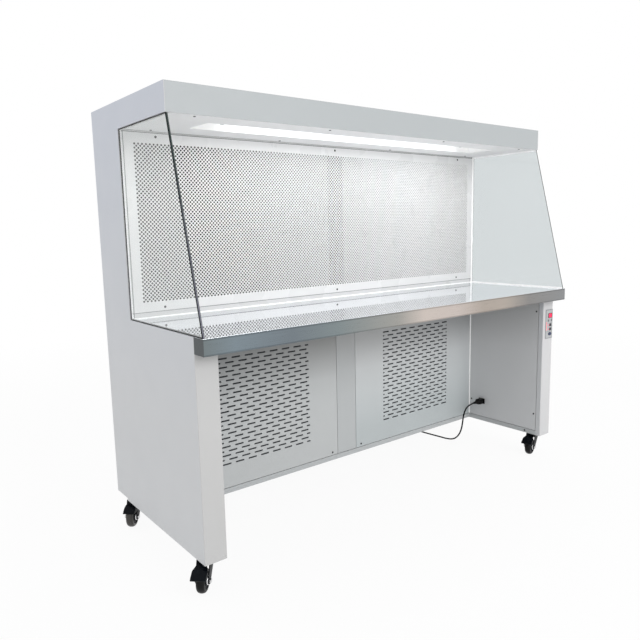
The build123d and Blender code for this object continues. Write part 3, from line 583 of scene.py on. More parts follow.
def shade_under_worktop(material, low, high, share):
    """Darkens a finish towards the worktop's underside, where less light reaches it."""
    tree = Tree(material.node_tree)
    base = material.node_tree.nodes["Principled BSDF"].inputs["Base Color"]
    painted = base.links[0].from_socket
    rise = tree.ramp(tree.parts()["Z"], low, high, 0.0, share)
    tree.link(tree.mix_colour(rise, painted, (0.05, 0.05, 0.05)), base)


# painted light and shade: the side panels turn bluer towards the top, and their folded fronts have their own
# tones
SIDE_TONE, SIDE_TOP_LIGHT_TONE = (0.62, 0.632, 0.648), (0.60, 0.632, 0.705)
powder_coat = coat("grey_powder_coat", SIDE_TONE, SIDE_TOP_LIGHT_TONE, (0.53, 0.53, 0.528), Drift=0.05)
right_coat = coat("right_powder_coat", SIDE_TONE, SIDE_TOP_LIGHT_TONE, (0.60, 0.60, 0.607), Drift=0.05)
# painted shade: the canopy's fascia and the knee space darker than the sides, the left access panel and the
# leg covers darker towards the top; painted light: the right access panel lighter towards the top
canopy_coat = coat("canopy_coat", (0.46, 0.485, 0.49), (0.415, 0.440, 0.450), Drift=0.06)
knee_coat = coat("knee_space_coat", (0.51, 0.53, 0.537), (0.49, 0.50, 0.51), Drift=0.06)
left_knee_coat = coat("left_panel_coat", (0.55, 0.568, 0.572), (0.28, 0.285, 0.285),
                      Top_From=0.46, Top_To=0.66, Drift=0.06)
right_knee_coat = coat("right_panel_coat", (0.51, 0.55, 0.56), (0.65, 0.67, 0.68),
                       Top_From=0.2, Top_To=0.52, Drift=0.06)
shade_under_worktop(right_knee_coat, low=0.47, high=0.60, share=0.29)
shade_under_worktop(knee_coat, low=0.48, high=0.60, share=0.15)
leg_coat = coat("leg_cover_coat", (0.63, 0.64, 0.652), (0.50, 0.505, 0.51), Top_From=0.5, Top_To=0.74,
                Drift=0.05)
ceiling_white = coat("ceiling_white", (0.95, 0.95, 0.95), Drift=0.02, Peel=0.05, Gloss_Low=0.55,
                     Gloss_High=0.70)
galvanised = metal("galvanised_sheet", 14, (0.42, 0.44, 0.46), (0.62, 0.64, 0.66), (0.3, 0.5))
bright_steel = metal("zinc_plated_steel", 30, (0.55, 0.55, 0.56), 0.78, (0.18, 0.32))
screw_dark = metal("screw_steel", 30, (0.02, 0.02, 0.022), (0.07, 0.07, 0.072), (0.28, 0.4), 0.6)
black_plastic = moulded("black_moulded_plastic", 0.004, 0.009, (0.35, 0.5), Specular_IOR_Level=0.12)
fork_black = moulded("caster_fork_black", (0.002, 0.003, 0.005), (0.005, 0.008, 0.011), (0.30, 0.50), 0.05,
                     Specular_IOR_Level=0.10)
tread_black = moulded("caster_tread_front", 0.006, 0.014, (0.25, 0.45), 0.06, Specular_IOR_Level=0.15)
tread_grey = moulded("caster_tread_rear", (0.045, 0.042, 0.038), (0.085, 0.080, 0.072), (0.16, 0.32), 0.06,
                     Specular_IOR_Level=0.4)
cord_jacket = moulded("cord_jacket", (0.003, 0.003, 0.005), (0.006, 0.006, 0.009), (0.4, 0.55), 0.05,
                      Specular_IOR_Level=0.10)
holder_grey = moulded("lamp_holder_grey", (0.16, 0.20, 0.205), (0.12, 0.15, 0.155), (0.3, 0.45))
# painted light: the white silicone glows faintly, to lift it out of the shade in the corners
silicone = moulded("white_silicone", 0.95, 0.92, (0.22, 0.36), 0.05, 350.0, Emission_Color=rgba(1.0),
                   Emission_Strength=0.12)
filter_pad = moulded("intake_filter_pad", (0.035, 0.038, 0.042), (0.08, 0.085, 0.09), (0.85, 1.0), 0.9, 420.0)
# painted shade: the filter paper, white in the real filters, is made nearly black, as the holes show it in
# shade
shaded_filter_paper = moulded("shaded_filter_paper", 0.035, 0.05, (0.8, 0.95), 0.5, 300.0)
motor_black = moulded("motor_black", 0.02, 0.05, (0.3, 0.5))
board_green = moulded("control_board", (0.02, 0.12, 0.05), (0.03, 0.18, 0.08), (0.3, 0.5))
plate_print = moulded("control_plate_print", (0.44, 0.45, 0.46), (0.41, 0.42, 0.43), (0.25, 0.35), 0.04)


def make_stainless():
    """One sheet, two finishes: a polished top, and an apron brushed along the bench, with painted reflections
    and shade on the apron.
    """
    material, tree, shader = new_material("stainless_worktop", Metallic=1.0)
    parts = tree.parts()
    brushed = placed_group(tree, GRAIN, {
        "Stretch": (0.5, 40, 60), "Depth": 0.08, "Rough Low": 0.24, "Rough High": 0.36,
        "Dark": rgba(0.62), "Light": rgba(0.92)})
    polished = placed_group(tree, GRAIN, {
        "Stretch": (0.6, 20, 20), "Depth": 0.008, "Rough Low": 0.022, "Rough High": 0.05,
        "Dark": (0.84, 0.87, 0.90, 1), "Light": (0.90, 0.925, 0.96, 1)})
    # painted reflections: the tones that the brushed apron shows along the bench
    toned = tree.mix_colour(1.0, tree.along_bench(APRON_REFLECTIONS), brushed.outputs["Color"], "MULTIPLY")
    # painted shade: the bends at the apron's two long edges show a darker line
    bends = [tree.band(parts["Z"], WORKTOP_TOP - deep, WORKTOP_TOP - shallow)
             for shallow, deep in APRON_BENDS]
    shaded = tree.math("MULTIPLY", tree.math("ADD", *bends), BEND_SHADE)
    toned = tree.mix_colour(shaded, toned, (0.02, 0.025, 0.03))
    # painted shade: the closed corners of the apron, which face sideways, are darker than its front
    corner = tree.math("GREATER_THAN", tree.math("ABSOLUTE", parts["X"]), APRON_CORNER)
    sided = tree.mix_colour(corner, toned, (0.075, 0.085, 0.09))
    top = tree.math("GREATER_THAN", parts["Z"], WORKTOP_TOP - TOP_SKIN)
    colour = tree.mix_colour(top, sided, polished.outputs["Color"])
    rough = tree.add("ShaderNodeMix", {"Factor": top})
    tree.link(brushed.outputs["Roughness"], rough.inputs[2])
    tree.link(polished.outputs["Roughness"], rough.inputs[3])
    normal = tree.add("ShaderNodeMix", {"Factor": top}, data_type="VECTOR")
    tree.link(brushed.outputs["Normal"], normal.inputs[4])
    tree.link(polished.outputs["Normal"], normal.inputs[5])
    tree.link(colour, shader.inputs["Base Color"])
    tree.link(tree.ramp(top, 0.0, 1.0, 1.0, TOP_SHEEN), shader.inputs["Metallic"])
    tree.link(rough.outputs[0], shader.inputs["Roughness"])
    tree.link(normal.outputs[1], shader.inputs["Normal"])
    return material


def make_glass(name, tint, ior):
    """Clear toughened glass with a trace of dust in its roughness."""
    material, tree, shader = new_material(name, Transmission_Weight=1.0, IOR=ior, Base_Color=rgba(tint))
    dust = tree.ramp(tree.noise(tree.place(), 6.0, 5.0), 0.4, 0.8, 0.0, 0.004)
    tree.link(dust, shader.inputs["Roughness"])
    return material


def make_glass_edge(name, dark, light, foot=None):
    """Ground and polished edge of the glass, with painted light and shade; its foot can have a painted light
    of its own, which fades out upwards.
    """
    material, tree, shader = new_material(name, Roughness=0.25, Specular_IOR_Level=0.2)
    place = tree.place()
    colour = tree.mix_colour(tree.noise(place, 14.0, 3.0), dark, light)
    if foot:
        fade = tree.ramp(tree.parts(place)["Z"], WORKTOP_TOP, CEILING_Z - GLASS_EDGE_FADE, 1.0, 0.0)
        colour = tree.mix_colour(fade, colour, foot)
    tree.link(colour, shader.inputs["Base Color"])
    return material


def make_lamp(name, colour, strength):
    """Lit lamp glass, slightly uneven."""
    material, tree, shader = new_material(name, Roughness=0.3)
    link_lit(tree, shader, tree.mix_colour(tree.noise(tree.place(), 3.0), colour, (1, 1, 1)), strength)
    return material


def make_print(name, colour, emission=0.0):
    """A printed or lit field, slightly uneven."""
    material, tree, shader = new_material(name, Roughness=0.4)
    value = tree.ramp(tree.noise(tree.place(), 400.0), 0.0, 1.0, 0.9, 1.1)
    tinted = tree.add("ShaderNodeHueSaturation", {"Color": rgba(colour), "Value": value})
    link_lit(tree, shader, tinted.outputs["Color"], emission)
    return material


def make_outlet_enamel(name, shaded_low_tone, joint_shadow):
    """White enamel of the outlet wall, with painted shade low down and at its left end, which the lamps light
    less.
    """
    low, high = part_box("diffuser_panel")
    material, tree, shader = new_material(name)
    used = placed_group(tree, COAT, {
        "Color": rgba(shaded_low_tone), "Top Color": rgba(0.87), "Top From": low[2], "Top To": high[2],
        "Drift": 0.02, "Peel": 0.05, "Gloss Low": 0.25, "Gloss High": 0.35})
    parts = tree.parts()
    # painted shade at the outlet's left end
    left_shade = tree.ramp(parts["X"], low[0], low[0] + LEFT_SHADE_LENGTH, 0.06, 0.0)
    colour = tree.mix_colour(left_shade, used.outputs["Color"], (0.20, 0.20, 0.21))
    # painted shadow line in the gap round the diffuser panel
    if joint_shadow:
        reach = tree.math("ABSOLUTE", parts["X"])
        sides = tree.band(reach, high[0] - JOINT_OVERLAP, high[0] + JOINT_SHADOW_WIDTH)
        below = tree.band(parts["Z"], low[2] - JOINT_SHADOW_WIDTH, low[2] + JOINT_OVERLAP)
        above = tree.band(parts["Z"], high[2] - JOINT_OVERLAP, high[2] + JOINT_SHADOW_WIDTH)
        line = tree.math("MAXIMUM", sides, tree.math("MAXIMUM", below, above))
        colour = tree.mix_colour(line, colour, (0.20, 0.21, 0.22))
    link_surface(tree, used, shader, colour)
    return material


def make_hole_shade():
    """Walls of the punched holes, in painted light and shade: dark where the lamps' light doesn't reach into
    them, and glowing faintly where they are lighter.
    """
    material, tree, shader = new_material("diffuser_hole_shade", Roughness=0.8, Specular_IOR_Level=0.1)
    tones = tree.along_bench([(x, rgba(tone)) for x, tone in HOLE_TONES])
    lower = tree.ramp(tree.parts()["Z"], *HOLE_SHADE_Z, 0.30, 0.0)
    link_lit(tree, shader, tree.mix_colour(lower, tones, (0.03, 0.03, 0.035)), 0.30)
    return material


def make_reflector():
    """White trough of the lamps, with painted light: it glows with their light, less so beyond their ends."""
    material, tree, shader = new_material("reflector_white", Roughness=0.3, Emission_Color=rgba(1.0))
    place = tree.place()
    bright = tree.mix_colour(tree.noise(place, 5.0), (0.86, 0.87, 0.88), (0.95, 0.95, 0.95))
    beyond = tree.ramp(tree.math("ABSOLUTE", tree.parts(place)["X"]), *LAMP_FADE)
    tree.link(tree.mix_colour(beyond, bright, (0.80, 0.80, 0.79)), shader.inputs["Base Color"])
    tree.link(tree.ramp(beyond, 0.0, 1.0, 0.40, 0.20), shader.inputs["Emission Strength"])
    return material


stainless = make_stainless()
surround_enamel = make_outlet_enamel("surround_enamel", shaded_low_tone=0.66, joint_shadow=True)
outlet_enamel = make_outlet_enamel("outlet_enamel", shaded_low_tone=0.76, joint_shadow=False)
reflector_white = make_reflector()
hole_shade = make_hole_shade()
left_glass_clear = make_glass("left_glass_clear", (0.94, 0.955, 0.95), 1.22)
# painted shade: the right pane has a darker tint than the left one
right_glass_shaded = make_glass("right_glass_shaded", (0.67, 0.71, 0.72), 1.35)
# painted light and shade in the panes' edges: the left edges dark with painted light at the foot, the right
# front edge a bright painted highlight, and the arrises dark lines
left_glass_edge_shading = make_glass_edge("left_glass_edge_shading", (0.010, 0.022, 0.020), (0.05, 0.07, 0.065),
                                  foot=(0.15, 0.15, 0.19))
left_glass_arris_shade = make_glass_edge("left_glass_arris_shade", (0.001, 0.002, 0.004), (0.006, 0.010, 0.014))
right_glass_edge_highlight = make_glass_edge("right_glass_edge_highlight", (0.86, 0.87, 0.87), (0.96, 0.96, 0.96))
right_glass_arris_shade = make_glass_edge("right_glass_arris_shade", (0.10, 0.105, 0.105), (0.22, 0.23, 0.23))
lamp_white = make_lamp("lamp_glass_white", (0.95, 0.97, 1.0), 4.5)
lamp_violet = make_lamp("lamp_glass_clear", (0.88, 0.92, 1.0), 1.2)
display_black = make_print("display_window_dark", (0.035, 0.008, 0.012))
display_lit = make_print("display_lit_area", (0.80, 0.001, 0.06), 0.55)
digit_red = make_print("display_digits", (1.0, 0.04, 0.16), 1.0)
field_pink = make_print("plate_field_pink", (0.95, 0.36, 0.38))
field_red = make_print("plate_field_red", (0.9, 0.10, 0.22))
field_line = make_print("plate_field_line", (0.06, 0.065, 0.07))
field_dark = make_print("plate_field_dark", (0.12, 0.125, 0.14))
button_grey = make_print("button_grey", (0.17, 0.18, 0.20))
button_dark = make_print("button_dark", (0.012, 0.013, 0.022))
button_blue = make_print("button_blue", (0.018, 0.03, 0.09))


# ==== geometry trees ====
def run_tree(made, group, values):
    """Puts a geometry tree with its values on an object, and keeps the result as a plain mesh."""
    modifier = made.modifiers.new(group.name, "NODES")
    modifier.node_group = group
    for item in group.interface.items_tree:
        if item.in_out == "INPUT" and item.name in values:
            modifier[item.identifier] = values[item.name]
    graph = bpy.context.evaluated_depsgraph_get()
    plain = bpy.data.meshes.new_from_object(made.evaluated_get(graph))
    made.modifiers.clear()
    made.data = plain
    return made


def put_units(tree, put, finish, inputs):
    """Ends a geometry tree: the unit on every point, made real, with its finish."""
    placed = tree.add("GeometryNodeInstanceOnPoints", inputs)
    real = tree.add("GeometryNodeRealizeInstances", {"Geometry": placed.outputs["Instances"]})
    done = tree.add("GeometryNodeSetMaterial", {"Geometry": real.outputs["Geometry"], "Material": finish})
    tree.link(done.outputs["Geometry"], put["Geometry"])
    return tree.tree


def make_lattice_tree():
    """Repeats the incoming unit on a lattice in the XZ plane, and again between its points."""
    tree, given, put = node_group("unit_lattice", "GeometryNodeTree", {
        "Unit": "Geometry", "Columns": "Int", "Rows": "Int", "Pitch": "Float", "Centre": "Vector",
        "Finish": "Material"}, {"Geometry": "Geometry"})

    def lattice(fewer):
        counts = [tree.math("SUBTRACT", given[name], fewer) for name in ("Columns", "Rows")]
        spans = [tree.math("MULTIPLY", tree.math("SUBTRACT", count, 1.0), given["Pitch"])
                 for count in counts]
        grid = tree.add("GeometryNodeMeshGrid", {"Size X": spans[0], "Size Y": spans[1],
                                                 "Vertices X": counts[0], "Vertices Y": counts[1]})
        return tree.add("GeometryNodeTransform", {
            "Geometry": grid.outputs["Mesh"], "Rotation": (pi / 2, 0, 0),
            "Translation": given["Centre"]}).outputs["Geometry"]

    between = lattice(1)
    points = tree.add("GeometryNodeJoinGeometry")
    tree.link(lattice(0), points.inputs[0])
    tree.link(between, points.inputs[0])
    return put_units(tree, put, given["Finish"], {"Points": points.outputs[0], "Instance": given["Unit"]})


def make_scatter_tree():
    """Sets the unit on every point of the incoming mesh, turned so that its +Z follows "facing"."""
    tree, given, put = node_group("unit_scatter", "GeometryNodeTree", {
        "Points": "Geometry", "Unit": "Object", "Finish": "Material"}, {"Geometry": "Geometry"})
    facing = tree.add("GeometryNodeInputNamedAttribute", {"Name": "facing"}, data_type="FLOAT_VECTOR")
    turned = tree.add("FunctionNodeAlignRotationToVector", {"Vector": facing.outputs["Attribute"]}, axis="Z")
    unit = tree.add("GeometryNodeObjectInfo", {"Object": given["Unit"]})
    return put_units(tree, put, given["Finish"], {
        "Points": given["Points"], "Instance": unit.outputs["Geometry"],
        "Rotation": turned.outputs["Rotation"]})


LATTICE = make_lattice_tree()
SCATTER = make_scatter_tree()


# ==== diffuser ====
def diamond_cell():
    """One diamond of sheet round one hole, facing -Y."""
    bm = bmesh.new()
    half = HOLE_PITCH / 2
    tips = [bm.verts.new((half * x, 0, half * z)) for x, z in round_points(4)]
    rim = [bm.verts.new((HOLE_RADIUS * x, 0, HOLE_RADIUS * z)) for x, z in round_points(HOLE_SIDES)]
    per_tip = HOLE_SIDES // 4
    for i in range(4):
        arc = [rim[(i * per_tip + k) % HOLE_SIDES] for k in range(per_tip + 1)]
        middle = arc[per_tip // 2]
        bm.faces.new([tips[i], tips[(i + 1) % 4], middle])
        bm.faces.new([tips[i], middle, arc[0]])
        bm.faces.new([tips[(i + 1) % 4], arc[-1], middle])
    turn_all(bm, (0, -1, 0))
    return bm


def hole_wall():
    """The cut wall of one hole, seen from inside the hole."""
    bm = bmesh.new()
    skin(bm, [[bm.verts.new((HOLE_RADIUS * x, depth, HOLE_RADIUS * z))
               for x, z in round_points(HOLE_SIDES)] for depth in (0.0, HOLE_DEPTH)], around=True)
    return bm


def diffuser_border(low, high, face_y):
    """The plain sheet round the perforated field, with the teeth that close the outermost diamonds."""
    half = HOLE_PITCH / 2
    wide, tall = (HOLE_COLUMNS - 1) * HOLE_PITCH / 2, (HOLE_ROWS - 1) * HOLE_PITCH / 2
    left, right = -wide - half, wide + half
    bottom, top = HOLE_FIELD_Z - tall - half, HOLE_FIELD_Z + tall + half
    bm = bmesh.new()

    def face(points):
        flat_face(bm, [(x, face_y, z) for x, z in points])

    for i in range(HOLE_COLUMNS - 1):
        x = -wide + i * HOLE_PITCH
        for edge, inner in ((bottom, bottom + half), (top, top - half)):
            face([(x, edge), (x + HOLE_PITCH, edge), (x + half, inner)])
    for i in range(HOLE_ROWS - 1):
        z = HOLE_FIELD_Z - tall + i * HOLE_PITCH
        for edge, inner in ((left, left + half), (right, right - half)):
            face([(edge, z), (edge, z + HOLE_PITCH), (inner, z + half)])
    for x, sx in ((left, 1), (right, -1)):
        for z, sz in ((bottom, 1), (top, -1)):
            face([(x, z), (x + sx * half, z), (x, z + sz * half)])
    x0, x1, z0, z1 = low[0], high[0], low[2], high[2]
    face([(x0, z0), (x1, z0), (right, bottom), (left, bottom)])
    face([(x1, z0), (x1, z1), (right, top), (right, bottom)])
    face([(x1, z1), (x0, z1), (left, top), (right, top)])
    face([(x0, z1), (x0, z0), (left, bottom), (left, top)])
    for (ax, az), (bx, bz), out in (((x0, z0), (x1, z0), (0, 0, -1)), ((x1, z0), (x1, z1), (1, 0, 0)),
                                    ((x1, z1), (x0, z1), (0, 0, 1)), ((x0, z1), (x0, z0), (-1, 0, 0))):
        flat_face(bm, [(ax, face_y, az), (bx, face_y, bz), (bx, face_y + SHEET, bz),
                       (ax, face_y + SHEET, az)], out)
    return piece_from(bm, "diffuser_border", smooth=False)


def build_diffuser():
    """Perforated outlet sheet: its face, and the walls of its holes."""
    low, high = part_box("diffuser_panel")
    face_y = low[1]
    values = {"Columns": HOLE_COLUMNS, "Rows": HOLE_ROWS, "Pitch": HOLE_PITCH,
              "Centre": (0.0, face_y, HOLE_FIELD_Z), "Finish": outlet_enamel}
    field = run_tree(piece_from(diamond_cell(), "diffuser_sheet", smooth=False), LATTICE, values)
    border = diffuser_border(low, high, face_y)
    joined = bmesh.new()
    joined.from_mesh(field.data)
    joined.from_mesh(border.data)
    bmesh.ops.remove_doubles(joined, verts=joined.verts, dist=0.00002)
    bpy.data.objects.remove(border)
    joined.to_mesh(field.data)
    joined.free()
    dress(field, [outlet_enamel], ["diffuser_panel"])
    values["Finish"] = hole_shade
    walls = run_tree(piece_from(hole_wall(), "diffuser_hole_walls", smooth=False), LATTICE, values)
    dress(walls, [hole_shade])


# ==== glass ====
def build_glass(name, finishes):
    """One pane with polished chamfers; its faces, edges and arrises have their own finishes."""
    low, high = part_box(name)
    rear, top, bottom = high[1], high[2], low[2]
    top_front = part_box("canopy_cover")[0][1] + GLASS_TOP_INSET
    outline = [(rear, bottom), (rear, top), (top_front, top), (low[1], bottom)]
    bm = bmesh.new()
    sides = [[bm.verts.new((x, y, z)) for y, z in outline] for x in (low[0], high[0])]
    for side in sides:
        bm.faces.new(side)
    skin(bm, sides, around=True)
    bmesh.ops.recalc_face_normals(bm, faces=bm.faces)
    bmesh.ops.bevel(bm, geom=list(bm.edges), offset=GLASS_CHAMFER, segments=1, affect="EDGES")
    bm.normal_update()
    for face in bm.faces:
        across = abs(face.normal.x)
        face.material_index = 0 if across > 0.9 else 1 if across < 0.1 else 2
    pane = piece_from(bm, f"{name}_pane", smooth=False)
    dress(pane, finishes, [name])
    pane.visible_shadow = False


# ==== silicone in the corners ====
def bead(bm, start, end, first_leg, second_leg, leg):
    """A concave run of silicone along a corner; the legs point from the corner along its two faces."""
    start, end = Vector(start), Vector(end)
    first_leg, second_leg = Vector(first_leg), Vector(second_leg)
    count = max(2, int((end - start).length / BEAD_STEP))
    rows = []
    for i in range(count + 1):
        place = start.lerp(end, i / count)
        reach = leg * (1 + 0.05 * sin(i * 1.9) + 0.03 * sin(i * 4.3 + 1.0))    # laid by hand, so uneven
        rows.append([bm.verts.new(place + first_leg * reach),
                     bm.verts.new(place + (first_leg + second_leg) * reach * BEAD_HOLLOW),
                     bm.verts.new(place + second_leg * reach)])
    for face in skin(bm, rows):
        turn_to(face, first_leg + second_leg)


def build_beads():
    """White silicone in the chamber's corners and in the knee space's rear ones."""
    glass_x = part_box("right_glass")[0][0]
    low_z = WORKTOP_TOP - BEAD_SEAT
    front_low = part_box("left_glass")[0][1] + BEAD_INSET
    front_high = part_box("canopy_cover")[0][1] + BEAD_INSET
    corner_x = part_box("right_leg_cover")[0][0]
    panel_low, panel_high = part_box("right_access_panel")
    corner_y = panel_low[1]
    bm = bmesh.new()
    for side in (-1, 1):
        x, inward = side * glass_x, (-side, 0, 0)
        bead(bm, (x, front_low, low_z), (x, OUTLET_Y, low_z), inward, (0, 0, 1), BEAD_LEG)
        bead(bm, (x, front_high, CEILING_Z), (x, OUTLET_Y, CEILING_Z), inward, (0, 0, -1), TOP_BEAD_LEG)
        bead(bm, (x, OUTLET_Y, low_z), (x, OUTLET_Y, CEILING_Z), inward, (0, -1, 0), BEAD_LEG)
    bead(bm, (-glass_x, OUTLET_Y, low_z), (glass_x, OUTLET_Y, low_z), (0, -1, 0), (0, 0, 1), REAR_BEAD_LEG)
    for side in (-1, 1):
        foot = (side * corner_x, corner_y, panel_low[2] + BEAD_END_GAP)
        head = (side * corner_x, corner_y, panel_high[2] - BEAD_END_GAP)
        bead(bm, foot, head, (-side, 0, 0), (0, -1, 0), KNEE_BEAD_LEG)
    dress(piece_from(bm, "silicone_beads"), [silicone], ["chamber_sealant"])


# ==== control plate ====
def plate_quad(bm, x0, x1, z0, z1, y, finish):
    """One flat field facing the user."""
    flat_face(bm, ((x0, y, z0), (x1, y, z0), (x1, y, z1), (x0, y, z1)), finish=finish)


def figure(bm, symbol, x, z, y, finish):
    """A seven-segment figure with its lower left corner at (x, z)."""
    wide, tall, bar = FIGURE_WIDE, FIGURE_TALL, FIGURE_WIDE * FIGURE_BAR
    middle = tall / 2
    spans = {"a": (0, wide, tall - bar, tall), "b": (wide - bar, wide, middle, tall),
             "c": (wide - bar, wide, 0, middle), "d": (0, wide, 0, bar), "e": (0, bar, 0, middle),
             "f": (0, bar, middle, tall), "g": (0, wide, middle - bar / 2, middle + bar / 2)}
    for name in SEGMENTS[symbol]:
        x0, x1, z0, z1 = spans[name]
        plate_quad(bm, x + x0, x + x1, z + z0, z + z1, y, finish)


def build_plate_fields():
    """The plate's printed fields and the display's lit area."""
    y = PLATE_LOW[1] - PRINT_LIFT
    x0, x1 = PLATE_LOW[0] + FRAME_INSET, PLATE_HIGH[0] - FRAME_INSET
    z0, z1 = PLATE_LOW[2] + FRAME_INSET, PLATE_HIGH[2] - FRAME_INSET
    bm = bmesh.new()
    plate_quad(bm, x0, x1, z0, z0 + FRAME_LINE, y, 0)
    plate_quad(bm, x0, x1, z1 - FRAME_LINE, z1, y, 0)
    plate_quad(bm, x0, x0 + FRAME_LINE, z0, z1, y, 0)
    plate_quad(bm, x1 - FRAME_LINE, x1, z0, z1, y, 0)
    for rule in RULES_Z:
        plate_quad(bm, PLATE_LOW[0] + RULE_INSET, PLATE_HIGH[0] - RULE_INSET, *rule, y, 0)
    plate_quad(bm, *PINK_FIELD, y, 1)
    for name, half_wide, half_tall in BUTTON_FIELDS:
        low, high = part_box(name)
        x, z = (low[0] + high[0]) / 2, (low[2] + high[2]) / 2
        plate_quad(bm, x - half_wide, x + half_wide, z - half_tall, z + half_tall, y, 3)
    for z in RED_MARKS_Z:
        plate_quad(bm, *RED_MARKS_X, z - RED_MARK_HALF, z + RED_MARK_HALF, y - PRINT_LIFT, 2)
    dress(piece_from(bm, "plate_fields", smooth=False),
          (field_line, field_pink, field_red, field_dark))
    low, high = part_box("display_window")
    x, z = (low[0] + high[0]) / 2, (low[2] + high[2]) / 2
    y = low[1] - PRINT_LIFT
    bm = bmesh.new()
    plate_quad(bm, x - LIT_HALF_WIDE, x + LIT_HALF_WIDE, z - LIT_HALF_TALL, z + LIT_HALF_TALL, y, 0)
    for k, symbol in enumerate(FIGURES):
        left = x + FIGURE_START[0] + k * FIGURE_PITCH
        figure(bm, symbol, left, z + FIGURE_START[1], y - PRINT_LIFT, 1)
    dress(piece_from(bm, "display_lit", smooth=False), (display_lit, digit_red))


# ==== screws ====
def screw_head():
    """Domed cross-head of a sheet screw, on the plane z = 0 and looking along +Z."""
    bm = bmesh.new()
    rings = []
    for share, height in SCREW_PROFILE:
        radius = SCREW_RADIUS * share
        rings.append([bm.verts.new((radius * x, radius * y, height)) for x, y in round_points(SCREW_SIDES)])
    arm, half = SCREW_RADIUS * CROSS_ARM, SCREW_RADIUS * CROSS_HALF
    cross = [(arm, -half), (arm, half), (half, half), (half, arm), (-half, arm), (-half, half),
             (-arm, half), (-arm, -half), (-half, -half), (-half, -arm), (half, -arm), (half, -half)]
    rim = [bm.verts.new((x, y, SCREW_RISE)) for x, y in cross]
    floor = [bm.verts.new((x * CROSS_TAPER, y * CROSS_TAPER, CROSS_FLOOR)) for x, y in cross]
    skin(bm, [*rings, rim, floor], around=True)
    bm.faces.new(floor)
    turn_all(bm, (0, 0, 1))
    return bm


def head_places():
    """Seat and direction of every plain head in the panel_screws node, from its separate parts."""
    bm = bmesh.new()
    bm.from_mesh(nodes["panel_screws"].data)
    bmesh.ops.remove_doubles(bm, verts=bm.verts, dist=0.00001)
    unseen = set(bm.verts)
    found = []
    while unseen:
        stack, part = [unseen.pop()], []
        while stack:
            vert = stack.pop()
            part.append(vert.co.copy())
            for link in vert.link_edges:
                other = link.other_vert(vert)
                if other in unseen:
                    unseen.discard(other)
                    stack.append(other)
        low = Vector([min(co[k] for co in part) for k in range(3)])
        high = Vector([max(co[k] for co in part) for k in range(3)])
        thin = min(range(3), key=lambda k: high[k] - low[k])
        centre = (low + high) / 2
        if thin == 0:
            sign = -1 if centre.x > 0 else 1
        elif thin == 1:
            sign = 1 if centre.y > REAR_HEADS_Y else -1
        else:
            sign = -1
        facing = Vector((0, 0, 0))
        facing[thin] = sign
        centre[thin] = low[thin] if sign > 0 else high[thin]
        found.append((centre, facing))
    bm.free()
    return found


def build_screws():
    """Cross-head screws in place of the plain heads."""
    places = head_places()
    mesh = bpy.data.meshes.new("screw_heads")
    mesh.from_pydata([centre for centre, facing in places], [], [])
    mesh.attributes.new("facing", "FLOAT_VECTOR", "POINT").data.foreach_set(
        "vector", [value for centre, facing in places for value in facing])
    heads = bpy.data.objects.new("screw_heads", mesh)
    scene.collection.objects.link(heads)
    unit = piece_from(screw_head(), "screw_unit", smooth=False)
    run_tree(heads, SCATTER, {"Unit": unit, "Finish": screw_dark})
    bpy.data.objects.remove(unit)
    dress(heads, [screw_dark], ["panel_screws"])


# ==== casters ====
def lathe(bm, centre, axle, profile, finish):
    """Turns (radius, offset along the axle) points about the axle."""
    side = axle.cross(Vector((0, 0, 1)))
    rows = [[bm.verts.new(centre + (side * x + Vector((0, 0, z))) * radius + axle * offset)
             for radius, offset in profile] for x, z in round_points(WHEEL_STEPS)]
    skin(bm, rows + rows[:1], finish=finish)


def build_caster(body_root, corner, x, y, heading_degrees):
    """A caster's wheel: tyre with rounded shoulders, black hub and a bright thread guard each side."""
    heading = radians(heading_degrees)
    ahead = Vector((cos(heading), sin(heading), 0))
    axle = Vector((-sin(heading), cos(heading), 0))
    centre = Vector((x, y, WHEEL_RADIUS)) + ahead * CASTER_OFFSET
    tyre = [(radius, -offset) for radius, offset in TYRE_SHOULDER] + [(WHEEL_RADIUS, 0.0)]
    tyre += TYRE_SHOULDER[::-1]
    bm = bmesh.new()
    lathe(bm, centre, axle, tyre, 0)
    for side in (-1, 1):
        lathe(bm, centre, axle, [(radius, side * offset) for radius, offset in HUB_WEB], 1)
        lathe(bm, centre, axle, [(radius, side * offset) for radius, offset in THREAD_GUARD], 2)
    bmesh.ops.remove_doubles(bm, verts=bm.verts, dist=0.00001)
    bmesh.ops.recalc_face_normals(bm, faces=bm.faces)
    tread = tread_black if body_root.startswith("front") else tread_grey
    dress(piece_from(bm, f"{body_root}_turned_wheel"), (tread, fork_black, bright_steel),
          [f"caster_{corner}_wheel"], body=f"{body_root}_wheel_body")


# ==== finishes of the CAD nodes ====
FINISHES = [
    (powder_coat, "left_side_panel back_panel"), (right_coat, "right_side_panel"),
    (canopy_coat, "canopy_cover"), (ceiling_white, "ceiling_panel"), (reflector_white, "lamp_reflector"),
    (lamp_white, "fluorescent_tube"), (lamp_violet, "germicidal_tube"), (holder_grey, "lamp_holders"),
    (stainless, "worktop"), (silicone, "chamber_sealant"), (surround_enamel, "diffuser_frame"),
    (shaded_filter_paper, "left_hepa_filter right_hepa_filter"), (knee_coat, "base_frame centre_post"),
    (leg_coat, "left_leg_cover right_leg_cover"), (left_knee_coat, "left_access_panel"),
    (right_knee_coat, "right_access_panel"), (filter_pad, "prefilters"),
    (galvanised, "blower_deck left_blower_housing right_blower_housing left_impeller right_impeller"),
    (motor_black, "left_blower_motor right_blower_motor"), (plate_print, "control_plate"),
    (display_black, "display_window"), (board_green, "control_box"),
    (button_grey, "select_button set_button"), (button_dark, "fan_button lamp_button"),
    (button_blue, "power_button"), (black_plastic, "power_inlet mains_plug"),
    (bright_steel, "caster_plates"), (screw_dark, "panel_screws"),
    (fork_black, "caster_fl_pedal caster_fr_pedal"),
]
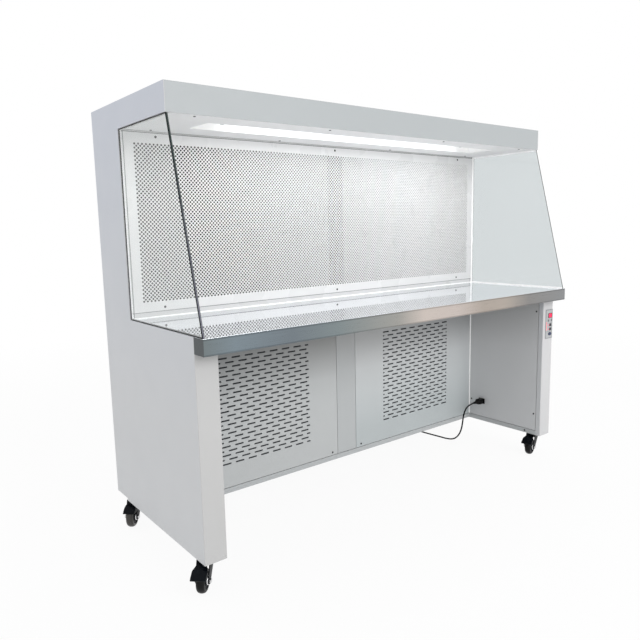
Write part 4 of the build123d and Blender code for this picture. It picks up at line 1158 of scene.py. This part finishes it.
for corner in ("fl", "fr", "rl", "rr"):
    FINISHES += [(fork_black, f"caster_{corner}_fork"), (tread_grey, f"caster_{corner}_wheel"),
                 (bright_steel, f"caster_{corner}_axle")]
for node_finish, node_names in FINISHES:
    for node_name in node_names.split():
        for held in nodes[node_name].material_slots:
            held.material = node_finish
mains_lead.data.materials.append(cord_jacket)
lead_connector.data.materials.append(black_plastic)


# ==== surroundings ====
def build_floor():
    """Plain pale floor that keeps the bench's shadow and fades into the white backdrop."""
    bm = bmesh.new()
    bmesh.ops.create_grid(bm, x_segments=1, y_segments=1, size=FLOOR_SIZE)
    floor = piece_from(bm, "studio_floor", smooth=False)
    material, tree, shader = new_material("studio_floor", Roughness=0.9, Specular_IOR_Level=0.1,
                                          Base_Color=rgba(0.86))
    white = tree.add("ShaderNodeEmission", {"Color": rgba(1.0), "Strength": 1.0})
    distance = tree.add("ShaderNodeVectorMath", {0: tree.place()}, operation="LENGTH")
    fade = tree.ramp(distance.outputs["Value"], *FLOOR_FADE, FLOOR_WHITE, 1.0)
    share = tree.math("MULTIPLY", tree.looked_at(), fade)
    mixed = tree.add("ShaderNodeMixShader", {0: share, 1: shader.outputs[0], 2: white.outputs[0]})
    tree.link(mixed.outputs[0], material.node_tree.nodes["Material Output"].inputs["Surface"])
    floor.data.materials.append(material)


def build_sky():
    """Even studio light, plain white where it is looked at or mirrored."""
    world = bpy.data.worlds.new("studio")
    world.use_nodes = True
    tree = Tree(world.node_tree)
    background = world.node_tree.nodes["Background"]
    tree.link(tree.ramp(tree.looked_at(), 0.0, 1.0, SKY, 1.0), background.inputs["Strength"])
    background.inputs["Color"].default_value = rgba(1.0)
    scene.world = world


def build_key_light():
    """One broad soft light in front of the bench."""
    light = bpy.data.lights.new("key_light", "AREA")
    light.shape = "RECTANGLE"
    light.size, light.size_y = KEY_SIZE
    light.energy = KEY_POWER
    lamp = bpy.data.objects.new("key_light", light)
    lamp.location = KEY_PLACE
    towards = Vector(KEY_TARGET) - Vector(KEY_PLACE)
    lamp.rotation_euler = towards.to_track_quat("-Z", "Y").to_euler()
    scene.collection.objects.link(lamp)


build_diffuser()
build_beads()
build_plate_fields()
build_screws()
for caster_body, caster_facts in CASTER_PLACES.items():
    build_caster(caster_body, *caster_facts)
build_glass("left_glass", (left_glass_clear, left_glass_edge_shading, left_glass_arris_shade))
build_glass("right_glass", (right_glass_shaded, right_glass_edge_highlight, right_glass_arris_shade))
build_floor()
build_sky()
build_key_light()
scene.view_settings.view_transform = "Standard"
